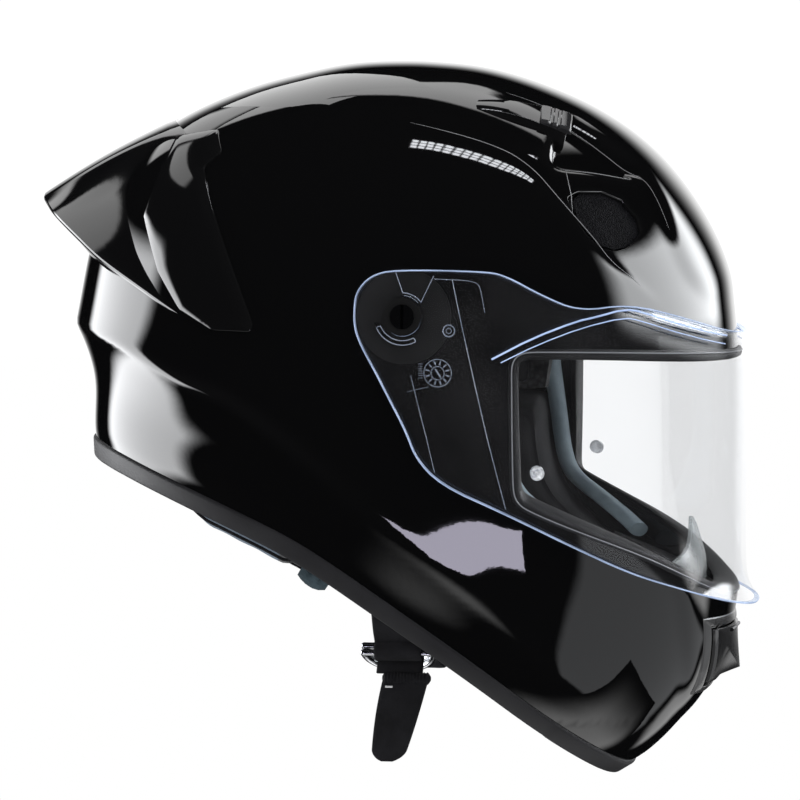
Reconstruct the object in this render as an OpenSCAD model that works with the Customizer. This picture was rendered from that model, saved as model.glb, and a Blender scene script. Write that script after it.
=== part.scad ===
// Full-face motorcycle helmet, as worn: +Z up, the face opening towards -Y,
// the wearer's right side towards -X. Every solid is modelled about the middle
// of the visor's pivot axis and then moved so that the origin lies at the
// bottom centre of the whole helmet.

/* [Shell] */
// Overall width of the outer shell over the pivots
shell_width = 250; // [246:1:256]
// Wall of the outer shell
shell_wall = 4.5; // [4:0.1:5]
// Exponent of the cross-section: 2 is an ellipse, larger is squarer
section_power = 2.25; // [2.1:0.05:2.4]
// How much the shell narrows from the pivot level to the bottom edge
taper_amount = 0.12; // [0.08:0.01:0.14]
// Steps round the pivot axis
steps_around = 72; // [60:12:84]
// Steps from side to side
steps_across = 24; // [20:4:28]

/* [Visor] */
// Gap between the shell and the visor
visor_gap = 1.8; // [1.6:0.1:2]
// Thickness of the visor
visor_wall = 2.4; // [2:0.1:2.6]
// Radius of the hub that the visor turns on
hub_r = 8.6; // [8:0.1:9]
// Running clearance of the visor on its hubs
hub_clear = 0.05; // [0.02:0.01:0.09]
// Depth of the flat pocket that holds the base plate
pocket_depth = 3.2; // [3:0.1:3.4]
// Radius of the base plate
plate_r = 21.5; // [20:0.5:22]
// Radius of an anti-fog insert pin
pin_r = 3.2; // [3:0.1:3.5]

/* [Bottom trim] */
// Height of the rubber band round the head opening
trim_height = 10; // [9:0.5:11]
// How far the band stands out from the shell
trim_out = 0.9; // [0.7:0.1:1.1]

/* [Liner] */
// Thickness of the crown energy liner
liner_wall = 30; // [28:1:32]
// Thickness of the crown comfort pad
pad_wall = 9; // [8:1:10]

/* [Strap] */
// Width of the chin strap webbing
web_width = 22; // [20:1:24]
// Thickness of the webbing
web_thick = 1.8; // [1.6:0.1:2]

/* [Hidden] */

left = 1;
right = -1;
sides = [right, left];
fit = 0.02;       // radial gap round hubs, screws and rivets
gap = 0.05;       // gap between other parts that meet
seat_gap = 0.06;  // gap under parts that sit on the shell

gloss_black = [0.02, 0.02, 0.022];
vent_black = [0.03, 0.03, 0.034];
mesh_black = [0.03, 0.03, 0.03];
hub_black = [0.05, 0.05, 0.055];
foam_grey = [0.16, 0.16, 0.17];
strap_steel = [0.45, 0.45, 0.46];
web_black = [0.035, 0.035, 0.038];

half_width = shell_width / 2;
// Bottom centre of the helmet, seen from the pivot axis
origin_y = 26.4493;
origin_z = -214.5432;
module placed() { translate([0, -origin_y, -origin_z]) children(); }

// ---- Shell surface ----
// An offset is the distance inwards from the outer surface; negative is outside.

// Side profile: [angle from the face, upwards; radius from the pivot axis]
profile = [[-67.4, 236.5], [-60, 223], [-53.3, 215], [-46.7, 199], [-36.4, 169.9],
  [-27.6, 155.4], [-17.4, 144.8], [-6, 138.5], [3.4, 136.6], [10.3, 134.6], [18.8, 130.8],
  [28.4, 127.2], [37.2, 124.7], [51.3, 119.9], [64.4, 116.6], [77.1, 116.2], [89.3, 118.1],
  [101, 121.2], [121.1, 131.8], [135.7, 146.3], [144.8, 158.1], [152.5, 166.6],
  [160.3, 171.3], [167.2, 172.8], [172.3, 171.9], [178.4, 171.4], [185.7, 170.3],
  [193, 171.4], [198, 178.7], [210, 188], [225, 198], [240, 205], [255, 211], [270, 218],
  [282, 228], [292.6, 236.5]];
first_angle = profile[0][0];
last_angle = profile[len(profile) - 1][0];
function wrapped(angle) = angle < first_angle ? wrapped(angle + 360)
  : angle > last_angle ? wrapped(angle - 360) : angle;
function raw_radius(angle) = lookup(wrapped(angle), profile);
// Profile radius, smoothed over 8 degrees each way
function side_radius(angle) = (raw_radius(angle - 8) + 2 * raw_radius(angle - 4)
  + 3 * raw_radius(angle) + 2 * raw_radius(angle + 4) + raw_radius(angle + 8)) / 9;

taper_top = 10;     // height where the taper starts
taper_drop = 160;   // drop over which it reaches taper_amount
taper_limit = 1.25; // part of that drop beyond which it stays constant
function taper(z) =
  1 - taper_amount * pow(min(taper_limit, max(0, (taper_top - z) / taper_drop)), 1.5);

function signed_power(value, power) = sign(value) * pow(abs(value), power);
// Point of the surface at an angle across (-90 right, 90 left) and a side-view angle
function surface_point(across, angle, radius, off) = let(
    reach = (radius - off) * pow(cos(across), 2 / section_power),
    z = reach * sin(angle))
  [(half_width - off) * signed_power(sin(across), 2 / section_power) * taper(z),
    -reach * cos(angle), z];
// Half width of the surface at a side-view point
function half_width_at(y, z, off) = let(radius = side_radius(atan2(z, -y)) - off)
  (half_width - off) * taper(z)
  * pow(max(0, 1 - pow(norm([y, z]) / radius, section_power)), 1 / section_power);
// Point at a given half width and side-view angle, the taper left out
function point_at(x, angle, off) = let(
    reach = (side_radius(angle) - off)
      * pow(max(0, 1 - pow(abs(x) / (half_width - off), section_power)), 1 / section_power))
  [x, -reach * cos(angle), reach * sin(angle)];

// Triangles that join successive rings of points
function wall_faces(rings, size) = [for (i = [0:rings - 2]) for (j = [0:size - 1])
  let(a = i * size + j, b = i * size + (j + 1) % size)
  each [[a, b, b + size], [a, b + size, a + size]]];

function radii(steps) = [for (j = [0:steps - 1]) side_radius(360 * j / steps)];
coarse_around = 48;
coarse_across = 18;
fine_radii = radii(steps_around);
coarse_radii = radii(coarse_around);

// Closed faceted body inside the surface at an offset
module body(off = 0, fine = true) {
  around = fine ? steps_around : coarse_around;
  across = fine ? steps_across : coarse_across;
  radius = fine ? fine_radii : coarse_radii;
  right_pole = (across - 1) * around;
  left_pole = right_pole + 1;
  points = concat(
    [for (i = [1:across - 1]) for (j = [0:around - 1])
      surface_point(-90 + 180 * i / across, 360 * j / around, radius[j], off)],
    [[-(half_width - off), 0, 0], [half_width - off, 0, 0]]);
  last_ring = (across - 2) * around;
  faces = concat(
    wall_faces(across - 1, around),
    [for (j = [0:around - 1]) [right_pole, (j + 1) % around, j]],
    [for (j = [0:around - 1]) [left_pole, last_ring + j, last_ring + (j + 1) % around]]);
  polyhedron(points, faces, convexity = 8);
}
// Skin between two offsets
module skin(outer, inner, fine = true) {
  difference() {
    body(outer, fine);
    body(inner, fine);
  }
}

// ---- Shared shapes ----
// resize([0, 0, 0]) changes no size; it groups the shapes made with the faceted body.

// Side-view outline [y, z] carried from side to side
module side_prism(points, width = 400) {
  rotate([90, 0, 90]) linear_extrude(width, center = true) polygon(points);
}
// The same on one side only
module one_side(points, side) { translate([side * 100, 0, 0]) side_prism(points, 200); }
// Front-view outline [x, z] carried forwards
module front_prism(points, depth = 140) {
  translate([0, -90, 0]) rotate([90, 0, 0]) linear_extrude(depth) polygon(points);
}
// Moves a shape made for the left to either side
module on_side(side) {
  if (side > 0) children();
  else mirror([1, 0, 0]) children();
}
// Cylinder along X
module x_rod(r, x0, x1, fn = 48) {
  translate([x0, 0, 0]) rotate([0, 90, 0]) cylinder(r = r, h = x1 - x0, $fn = fn);
}

// Rounds a polyline by cutting its corners
function quarter_points(a, b) = [0.75 * a + 0.25 * b, 0.25 * a + 0.75 * b];
function rounded(points, closed, passes) = passes == 0 ? points : let(
    count = len(points),
    next = closed
      ? [for (i = [0:count - 1]) each quarter_points(points[i], points[(i + 1) % count])]
      : concat([points[0]],
          [for (i = [0:count - 2]) each quarter_points(points[i], points[i + 1])],
          [points[count - 1]]))
  rounded(next, closed, passes - 1);
function scaled_about(points, centre, factor) =
  [for (p = points) centre + (p - centre) * factor];
function reversed(list) = [for (i = [len(list) - 1:-1:0]) list[i]];

// Rim line in side view [y, z], from the back to the chin
rim = [[205, -50], [159, -60], [113, -77], [64, -98], [43, -110], [12, -132], [-27, -161],
  [-60, -189], [-81, -205], [-98, -219], [-112, -232]];
rim_shift = [-0.45, -0.89]; // direction in which the rim line moves down
shell_drop = 6;             // the shell ends this far below the rim line
function lowered_rim(drop) = [for (p = rounded(rim, false, 1)) p + rim_shift * drop];
function rim_band(top, bottom) = concat(lowered_rim(top), reversed(lowered_rim(bottom)));

// Everything under the plane that the helmet stands on, raised by a height
rest_tilt = 30.262;
rest_level = -141.2;
module rest_block(raise) {
  rotate([rest_tilt, 0, 0])
    translate([0, 0, rest_level + raise - 50]) cube([500, 700, 100], center = true);
}

// Face opening in side view [y, z]
eyeport = [[-48, -26], [-48, -16], [-62, -16], [-90, -16.5], [-127, -18], [-190, -21],
  [-190, -158], [-135, -131], [-119, -119], [-101, -108], [-64, -92], [-54, -87],
  [-48, -84], [-48, -74]];
eyeport_centre = [-110, -66];

// Brow scoop in side view [y, z], high on the brow of each side
brow = [[-70, 56], [-88, 56], [-103, 40], [-98, 31], [-88, 29], [-76, 40]];

// Offsets of the layers under the shell
liner_outer = shell_wall + 1.2;
liner_inner = liner_outer + liner_wall;
pad_outer = liner_inner + 1;
cheek_outer = shell_wall + 8.5;
strap_outer = shell_wall + 5.2;

// Strap rivets: place in side view, radii, and x of the outer end and inner wall
rivet_y = 14;
rivet_z = -72;
rivet_r = 3;
rivet_end = half_width_at(rivet_y, rivet_z, 0) - 1.8;
function strap_wall(z) = half_width_at(rivet_y, z, strap_outer);
rivet_wall = strap_wall(rivet_z);
// x of the strap's line at a height
function web_x(z) = strap_wall(z) - 0.9;

// Pivot parts: x of the base plate's seat and of the visor's outer face
visor_outer = visor_gap + visor_wall;
plate_seat = half_width - pocket_depth + gap;
visor_face = half_width + visor_outer;
screw_r = 3;
screw_head_r = 5.5;

// Slot through the shell behind the chin vent
chin_slot = [0, -150, -160];
chin_slot_size = [60, 90, 9];

// ---- Shell and spoiler ----

module outer_shell() { color(gloss_black) placed() difference() {
  resize([0, 0, 0]) difference() {
    body(0);
    body(shell_wall);
    // head opening
    side_prism(concat(lowered_rim(shell_drop), [[-112, -330], [205, -330]]));
    side_prism(rounded(eyeport, true, 2));
    for (side = sides) intersection() {
      one_side(rounded(brow, true, 1), side);
      skin(-2, 9);
    }
    translate(chin_slot) cube(chin_slot_size, center = true);
    // top vent slots under the sliders
    for (side = sides)
      translate([side * 70, -54, 90]) rotate([0, side * 38, 0])
        cube([10, 14, 60], center = true);
  }
  // hub screw holes, base plate pockets and strap rivet seats
  x_rod(screw_r + fit, -140, 140);
  for (side = sides) on_side(side)
    x_rod(plate_r + gap, half_width - pocket_depth, half_width + 20, 64);
  translate([0, rivet_y, rivet_z]) x_rod(rivet_r + fit, -rivet_end - gap, rivet_end + gap);
} }

// Spoiler's front edge on the crown, from the middle out: [half width, side-view angle]
spoiler_front = [[0, 144.7], [31, 143.7], [58, 143.5], [78, 144.8], [92, 150], [104, 160],
  [112, 172], [116.5, 183]];
// Its trailing edge at the same stations: [x, y, z]
spoiler_back = [[0, 196, 56], [31, 189, 50], [56, 176, 41], [74, 159, 30], [88, 141, 19],
  [98, 124, 9], [105, 109, 0], [110, 95, -7]];
spoiler_sink = 5; // how far its root reaches under the shell's surface
// Six-point section at a station of the left half
function spoiler_section(k) = let(
    x = spoiler_front[k][0],
    angle = spoiler_front[k][1],
    back = spoiler_back[k],
    top = (point_at(x, angle, 0) + back) / 2
      + [back[0] / 40, 2, 5.5 - 3.5 * k / len(spoiler_front)])
  [point_at(x * 0.985, angle + 3, spoiler_sink),
    point_at(x, angle, -1.2),
    top,
    back,
    back + [0, -1.5, -2.2],
    point_at(min(back[0] * 0.97, 112), atan2(back[2], -back[1]) + 7, spoiler_sink)];
module rear_spoiler() {
  last = len(spoiler_front) - 1;
  size = 6;
  rings = 2 * last + 1;
  points = [for (i = [-last:last]) for (p = spoiler_section(abs(i)))
    [(i < 0 ? -1 : 1) * p[0], p[1], p[2]]];
  faces = concat(wall_faces(rings, size),
    [[for (j = [size - 1:-1:0]) j]],
    [[for (j = [0:size - 1]) (rings - 1) * size + j]]);
  color(gloss_black) placed() resize([0, 0, 0]) difference() {
    polyhedron(points, faces, convexity = 6);
    body(-seat_gap);
  }
}

// ---- Liners and pads ----

// Region cut away from the crown liner, below and in front [y, z]
liner_cut = [[-200, -1], [-58, -1], [-40, -12], [-36, -40], [45, -46], [75, -62],
  [112, -64], [205, -36], [205, -330], [-200, -330]];
// Crown energy liner: everything inside the shell above the ears, open at the face
module crown_liner_eps() { color(foam_grey) placed() difference() {
  resize([0, 0, 0]) difference() {
    body(liner_outer, false);
    body(liner_inner, false);
    side_prism(liner_cut);
  }
  // room for the pivot screws
  x_rod(4.5, -140, -100);
  x_rod(4.5, 100, 140);
} }

// Chin bar liner in side view [y, z], its top edge raised by a height
function chin_liner_line(raise = 0) = [[-72, -110 + raise], [-90, -117 + raise],
  [-170, -150 + raise], [-150, -226], [-93, -203], [-66, -182]];
// Chin bar energy liner, with an air slot through it
module chin_bar_eps() { color(foam_grey) placed() resize([0, 0, 0]) intersection() {
  skin(liner_outer, shell_wall + 22, false);
  side_prism(chin_liner_line());
  difference() {
    cube([150, 500, 500], center = true);
    translate([0, -120, chin_slot[2]]) cube([64, 120, 13], center = true);
  }
} }

// Region cut away from the crown pad, below and in front [y, z]
pad_cut = [[-200, 12], [-50, 12], [-30, -6], [-25, -34], [60, -42], [105, -52],
  [205, -30], [205, -330], [-200, -330]];
// Crown comfort pad
module crown_pad() { color([0.05, 0.05, 0.055]) placed() resize([0, 0, 0]) difference() {
  body(pad_outer, false);
  body(pad_outer + pad_wall, false);
  side_prism(pad_cut);
} }

// Cheek pad in side view [y, z]
cheek_line = [[-62, -34], [-44, -40], [38, -52], [52, -70], [46, -92], [14, -116],
  [-24, -144], [-58, -168], [-84, -150], [-86, -128], [-66, -106], [-52, -92], [-46, -70]];
// Room kept for the chin bar liner in side view [y, z]
chin_room = [[-69.5, -107.5], [-90, -113], [-200, -140], [-200, -260], [-93, -260],
  [-62, -186]];
// Room for the left strap in front view [x, z]
strap_room = [[130, -56], [web_x(-62) - 5.4, -62], [web_x(-84) - 5.4, -84],
  [web_x(-112) - 5.2, -112], [web_x(-126) - 6.6, -126], [64, -150], [64, -180], [130, -180]];
cheek_inner = 66; // x of the pad's inner face
cheek_turn = 5;   // turn of that face about the vertical
snap_places = [[-26, -78], [-30, -112]]; // [y, z]
snap_r = 5;
function snap_x(p) = half_width_at(p[0], p[1], cheek_outer);

// Thick side cushion below the ear
module cheek_pad(side) { color([0.36, 0.40, 0.47]) placed() difference() {
  resize([0, 0, 0]) intersection() {
    body(cheek_outer, false);
    one_side(rounded(cheek_line, true, 2), side);
    translate([side * (cheek_inner + 100), 0, 0]) rotate([0, 0, side * cheek_turn])
      cube([200, 400, 600], center = true);
    difference() {
      cube(600, center = true);
      side_prism(chin_room);
      on_side(side) translate([0, 40, 0]) rotate([90, 0, 0])
        linear_extrude(58) polygon(strap_room);
    }
  }
  on_side(side) for (p = snap_places)
    translate([0, p[0], p[1]]) x_rod(snap_r + gap, snap_x(p) - 4, 130);
} }
module cheek_pad_left() cheek_pad(left);
module cheek_pad_right() cheek_pad(right);

// Snap studs on the outer faces of the cheek pads
module cheek_pad_snaps() {
  color([0.1, 0.1, 0.11]) placed() for (side = sides) on_side(side) for (p = snap_places)
    translate([0, p[0], p[1]]) x_rod(snap_r, snap_x(p) - 3.9, snap_x(p) + 1.4);
}

// Neck roll in side view [y, z]
neck_line = [[58, -68], [76, -66], [112, -68], [205, -40], [205, -70], [160, -79],
  [118, -94], [76, -112], [60, -118]];
// Neck roll round the rear of the head opening
module neck_roll() { color([0.33, 0.37, 0.44]) placed() resize([0, 0, 0]) intersection() {
  skin(shell_wall + 3.6, shell_wall + 24, false);
  side_prism(neck_line);
  difference() {
    translate([0, 230, 0]) cube([400, 344, 600], center = true);
    rest_block(1.2);
  }
} }

// ---- Rubber edges ----

// Band round the bottom edge, with a channel for the shell
module bottom_edge_trim() {
  color([0.07, 0.07, 0.075]) placed() resize([0, 0, 0]) difference() {
    intersection() {
      skin(-trim_out, shell_wall + 2.2);
      side_prism(rim_band(0, trim_height));
    }
    intersection() {
      skin(-gap, shell_wall + gap);
      side_prism(rim_band(-3, shell_drop + 0.1));
    }
    // faces that the helmet stands on
    rest_block(0);
  }
}

// Gasket round the eyeport
module eyeport_gasket() {
  color([0.13, 0.13, 0.14]) placed() resize([0, 0, 0]) intersection() {
    skin(-1.2, shell_wall + 1.5);
    difference() {
      side_prism(rounded(eyeport, true, 2));
      side_prism(rounded(scaled_about(eyeport, eyeport_centre, 0.93), true, 2));
      // open space in front
      side_prism([[-110, -28], [-300, -28], [-300, -118], [-122, -115]]);
    }
  }
}

// ---- Visor pivots ----

module visor_base_plate(side) {
  color([0.03, 0.03, 0.033]) placed() on_side(side) difference() {
    x_rod(plate_r, plate_seat, half_width - 0.2, 64);
    x_rod(hub_r + fit, 110, 140);
    // curved slot behind and below the hub
    translate([half_width - 1.6, 0, 0]) rotate([90, 0, 90]) linear_extrude(30)
      intersection() {
        difference() {
          circle(r = 13.6, $fn = 64);
          circle(r = 11.7, $fn = 64);
        }
        polygon([[0, 0], [40, -8], [20, -40], [-8, -40]]);
      }
  }
}
module visor_base_plate_left() visor_base_plate(left);
module visor_base_plate_right() visor_base_plate(right);

// Round boss that the visor turns on, bored for its screw
module pivot_hub(side) { color(hub_black) placed() on_side(side) difference() {
  x_rod(hub_r, plate_seat, visor_face + 0.5, 64);
  x_rod(screw_r + fit, half_width - 10, half_width + 20);
  x_rod(screw_head_r + fit, visor_face - 1, half_width + 20);
} }
module pivot_hub_left() pivot_hub(left);
module pivot_hub_right() pivot_hub(right);

// Slotted screws that hold the hubs and base plates to the shell
screw_top = visor_face + 0.7;
module pivot_screws() {
  color([0.25, 0.25, 0.26]) placed() for (side = sides) on_side(side) difference() {
    union() {
      x_rod(screw_r, half_width - shell_wall - 3, visor_face - 0.9);
      x_rod(screw_head_r, visor_face - 0.98, screw_top);
    }
    translate([screw_top, 0, 0]) cube([1.6, 1.4, 12], center = true);
  }
}

// ---- Brow and top vents ----

// Plate at the bottom of each brow scoop
module brow_mesh(side) { color(mesh_black) placed() resize([0, 0, 0]) intersection() {
  skin(2.4, shell_wall);
  one_side(rounded(scaled_about(brow, [-86, 43], 0.97), true, 1), side);
} }
module brow_vent_mesh_left() brow_mesh(left);
module brow_vent_mesh_right() brow_mesh(right);

// Puts a top vent part on the crown
module on_crown(side) {
  on_side(side) translate([69, -41.7, 92.8])
    rotate([0, 30, 0]) rotate([19, 0, 0]) rotate([0, 0, -4]) children();
}
// One end of the vent wedge
module wedge_end(width, y, height, narrowing) {
  translate([0, y, -8]) linear_extrude(height, scale = narrowing)
    square([width, 2], center = true);
}
// Low wedge, wide and tall in front, with a bay for the slider
module top_vent_base(side) { color(gloss_black) placed() resize([0, 0, 0]) difference() {
  on_crown(side) difference() {
    hull() {
      wedge_end(width = 26, y = -24, height = 14.5, narrowing = 0.86);
      wedge_end(width = 5, y = 34, height = 8.6, narrowing = 0.9);
    }
    translate([0, -25.2, 2.2]) cube([17.4, 34.4, 12], center = true);
  }
  body(-0.08);
} }
module top_vent_base_left() top_vent_base(left);
module top_vent_base_right() top_vent_base(right);

// Slider block with a round ridge across its top
module top_vent_slider(side) { color(vent_black) placed() resize([0, 0, 0]) difference() {
  on_crown(side) union() {
    translate([0, -19.5, 2.6]) cube([16.8, 12, 4.6], center = true);
    translate([0, -18.6, 5.6]) rotate([0, 90, 0])
      cylinder(r = 1.3, h = 15, center = true, $fn = 16);
  }
  body(-0.8);
} }
module top_vent_slider_left() top_vent_slider(left);
module top_vent_slider_right() top_vent_slider(right);

// ---- Chin vent ----

// Front-view outlines [x, z]
frame_outer = [[-47, -141], [47, -141], [25, -180], [-25, -180]];
frame_inner = [[-39, -146.5], [39, -146.5], [21, -175.5], [-21, -175.5]];
shutter_line = [[-37.5, -147], [37.5, -147], [20.5, -174.5], [-20.5, -174.5]];
hinge = [0, -138.4, -149.2];
hinge_lug_x = 15;
hinge_pin_r = 0.9;

// Frame with two hinge lugs
module chin_vent_frame() { color(vent_black) placed() difference() {
  resize([0, 0, 0]) difference() {
    union() {
      intersection() {
        skin(-2.6, -seat_gap);
        difference() {
          front_prism(frame_outer);
          front_prism(frame_inner);
        }
      }
      for (side = sides) translate(hinge + [side * hinge_lug_x, 0.6, 1.1])
        cube([5, 3.6, 5], center = true);
    }
    body(-seat_gap);
  }
  translate(hinge) x_rod(hinge_pin_r, -20, 20, 24);
} }

module chin_vent_mesh() { color(mesh_black) placed() resize([0, 0, 0]) intersection() {
  skin(1.2, 3.2);
  translate(chin_slot) cube(chin_slot_size - [0.4, 0, 0.4], center = true);
} }

// Shutter, notched round the lugs, with its hinge barrel
module chin_vent_shutter() { color(gloss_black) placed() difference() {
  resize([0, 0, 0]) union() {
    difference() {
      intersection() {
        skin(-5.6, -2.9);
        front_prism(shutter_line);
      }
      for (side = sides) translate(hinge + [side * hinge_lug_x, 0, 1])
        cube([6, 12, 7], center = true);
    }
    translate(hinge) x_rod(1.9, -11.6, 11.6, 24);
  }
  translate(hinge) x_rod(hinge_pin_r + gap, -20, 20, 24);
} }

module chin_vent_shutter_pin() {
  color([0.3, 0.3, 0.31]) placed() translate(hinge) x_rod(hinge_pin_r, -17.4, 17.4, 24);
}

// Breath guard in front view [x, z]
guard_line = [[-58, -148], [-52, -118], [-30, -100], [0, -96], [30, -100], [52, -118],
  [58, -148]];
// Smoky breath guard standing up from the chin bar, clear of the chin liner
module breath_guard() { color([0.2, 0.2, 0.22]) placed() resize([0, 0, 0]) intersection() {
  skin(8, 9.6);
  front_prism(rounded(guard_line, false, 2), 120);
  side_prism([[-60, 0], [-300, 0], [-300, -148], [-60, -148]]);
  difference() {
    cube(600, center = true);
    intersection() {
      skin(shell_wall, shell_wall + 22.4);
      side_prism(chin_liner_line(0.4));
    }
  }
} }

// ---- Chin strap ----

module strap_rivets() {
  color(strap_steel) placed() for (side = sides) on_side(side)
    translate([0, rivet_y, rivet_z]) {
      x_rod(rivet_r, rivet_wall - 2.4, rivet_end);
      x_rod(5, rivet_wall - 3.2, rivet_wall - 1.95);
    }
}

// Plates on the rivets: a disc with a square tongue below
module strap_end_plates() {
  plate_x = web_x(rivet_z);
  color(strap_steel) placed() for (side = sides) on_side(side) difference() {
    union() {
      translate([0, rivet_y, rivet_z]) x_rod(8, plate_x - 0.9, plate_x + 0.4);
      translate([plate_x - 0.25, rivet_y, rivet_z - 8]) cube([1.3, 16, 16], center = true);
    }
    translate([0, rivet_y, rivet_z]) x_rod(rivet_r + gap, 80, 130);
  }
}

web_y = rivet_y - 2; // middle of the webbing's width
// Middle of the ring bars [x, z] and the tilt of the rings
ring_at = [-68, -156];
ring_tilt = 33;
// Webbing from the left anchor, under the chin and through the rings [x, z]
web_long = [[web_x(-86) - 2.6, -84], [web_x(-98) - 1.6, -98], [web_x(-112) - 1.6, -112],
  [web_x(-126) - 2.6, -126], [76, -144], [52, -160], [22, -171], [-10, -171], [-30, -162],
  [-44.5, -152.5], [-52.5, -150], [-58, -155.3], [-61.3, -160.4], [-64.6, -165.4],
  [-65.5, -167.4]];
// Short webbing from the right anchor to the rings [x, z]
web_short = [[-web_x(-86) + 2.6, -84], [-web_x(-98) + 1.6, -98], [-web_x(-112) + 1.6, -112],
  [-web_x(-122) + 2.6, -122], [-81.5, -133], [-75.5, -146], ring_at + [-2.4, 3.9]];
// Free end hanging below the rings [x, z], from its folded top
tail_at = [-66.1, -169.9];
web_tail = [tail_at, [-67.5, -176], [-68, -186], [-66.5, -208]];

// Outline of webbing along a rounded line
function web_outline(line) = let(
    path = rounded(line, false, 1),
    last = len(path) - 1,
    normals = [for (i = [0:last])
      let(along = path[min(last, i + 1)] - path[max(0, i - 1)], length = norm(along))
      [-along[1] / length, along[0] / length] * web_thick / 2])
  concat(path + normals, reversed(path - normals));
// Front-view shape carried over the webbing's width
module webbing() {
  translate([0, web_y + web_width / 2, 0]) rotate([90, 0, 0])
    linear_extrude(web_width) children();
}
module chin_strap_long() { color(web_black) placed() webbing() polygon(web_outline(web_long)); }

// The lower end is looped round the two ring bars
module chin_strap_short() { color(web_black) placed() webbing() difference() {
  union() {
    polygon(web_outline(web_short));
    translate(ring_at) circle(r = 5.4, $fn = 40);
  }
  translate(ring_at) circle(r = 3.7, $fn = 40);
} }

module strap_tail() { color(web_black) placed() webbing() union() {
  polygon(web_outline(web_tail));
  translate(tail_at) circle(r = 1.5, $fn = 24);
} }

wire_r = 1.5;
bar_half = 16.4; // half the length of a ring's straight bar
module d_ring() { union() {
  rotate([0, -90, 0]) rotate([0, 0, -90]) rotate_extrude(angle = 180, $fn = 64)
    translate([bar_half, 0]) circle(r = wire_r, $fn = 16);
  rotate([90, 0, 0]) cylinder(r = wire_r, h = 2 * bar_half, center = true, $fn = 16);
  for (end = [-1, 1]) translate([0, end * bar_half, 0]) sphere(r = wire_r, $fn = 16);
} }
// Two D-shaped rings, their straight bars held in the loop
module d_rings() {
  color([0.75, 0.76, 0.78]) placed()
    translate([ring_at[0], web_y, ring_at[1]]) rotate([0, ring_tilt, 0])
      for (k = [-1, 1]) translate([0, 0, k * 1.75]) rotate([0, 90, 0]) d_ring();
}

// ---- Visor ----

// Visor in side view [y, z]
visor_line = [[22, 4], [21, 11], [15, 18], [4, 21], [-37, 20], [-46, 18], [-62, 9],
  [-78, 2], [-99, 5], [-122, -2], [-140, -10], [-175, -20], [-175, -158], [-150, -143],
  [-134, -134], [-119, -127], [-98, -118], [-76, -106], [-44, -89], [-16, -76], [-5, -64],
  [-1, -52], [6, -38], [13, -24], [19, -13], [22, -5]];
pin_y = -59;
pin_z = -71;
pin_neck_r = pin_r - 1.2;
// Puts a pin on the visor's inner face, its +Z pointing outwards
module pin_at(side) {
  on_side(side) translate([half_width_at(pin_y, pin_z, -visor_gap), pin_y, pin_z])
    rotate([0, 0, -14.2]) rotate([0, 100.1, 0]) children();
}

module visor_shield() { color([0.8, 0.85, 0.9, 0.3]) placed() difference() {
  resize([0, 0, 0]) intersection() {
    skin(-visor_outer, -visor_gap);
    side_prism(rounded(visor_line, true, 1));
  }
  x_rod(hub_r + hub_clear, -150, -100, 64);
  x_rod(hub_r + hub_clear, 100, 150, 64);
  for (side = sides) pin_at(side)
    cylinder(r = pin_neck_r + 0.01, h = 30, center = true, $fn = 32);
} }

// Anti-fog insert pin: a disc inside the visor and a neck into it
module anti_fog_pin(side) { color(hub_black) placed() pin_at(side) union() {
  translate([0, 0, -3.5]) cylinder(r = pin_r, h = 3, $fn = 48);
  translate([0, 0, -0.6]) cylinder(r = pin_neck_r, h = 3.2, $fn = 32);
} }
module anti_fog_pin_left() anti_fog_pin(left);
module anti_fog_pin_right() anti_fog_pin(right);

outer_shell();
rear_spoiler();
crown_liner_eps();
chin_bar_eps();
crown_pad();
cheek_pad_left();
cheek_pad_right();
cheek_pad_snaps();
neck_roll();
bottom_edge_trim();
eyeport_gasket();
visor_base_plate_left();
visor_base_plate_right();
pivot_hub_left();
pivot_hub_right();
pivot_screws();
brow_vent_mesh_left();
brow_vent_mesh_right();
top_vent_base_left();
top_vent_base_right();
chin_vent_frame();
chin_vent_mesh();
breath_guard();
strap_rivets();
visor_shield();
anti_fog_pin_left();
anti_fog_pin_right();
top_vent_slider_left();
top_vent_slider_right();
chin_vent_shutter();
chin_vent_shutter_pin();
strap_end_plates();
chin_strap_long();
chin_strap_short();
d_rings();
strap_tail();
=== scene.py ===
"""A full-face helmet with a clear visor, skinned over its CAD pieces, in a white studio.

x runs to the wearer's left, -y to the front and z up. Shapes are worked out in millimetres from
the visor's pivot axis; build() turns them into metres. The body is a rounded surface whose points
are given by (phi, t) in degrees: phi goes round the side view (0 front, 90 top, 180 rear) and t
goes across from the middle plane (0) to the sides (-90 right, 90 left).
"""
import math
import bpy
import bmesh
import numpy as np
from mathutils import Matrix, Vector


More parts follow.
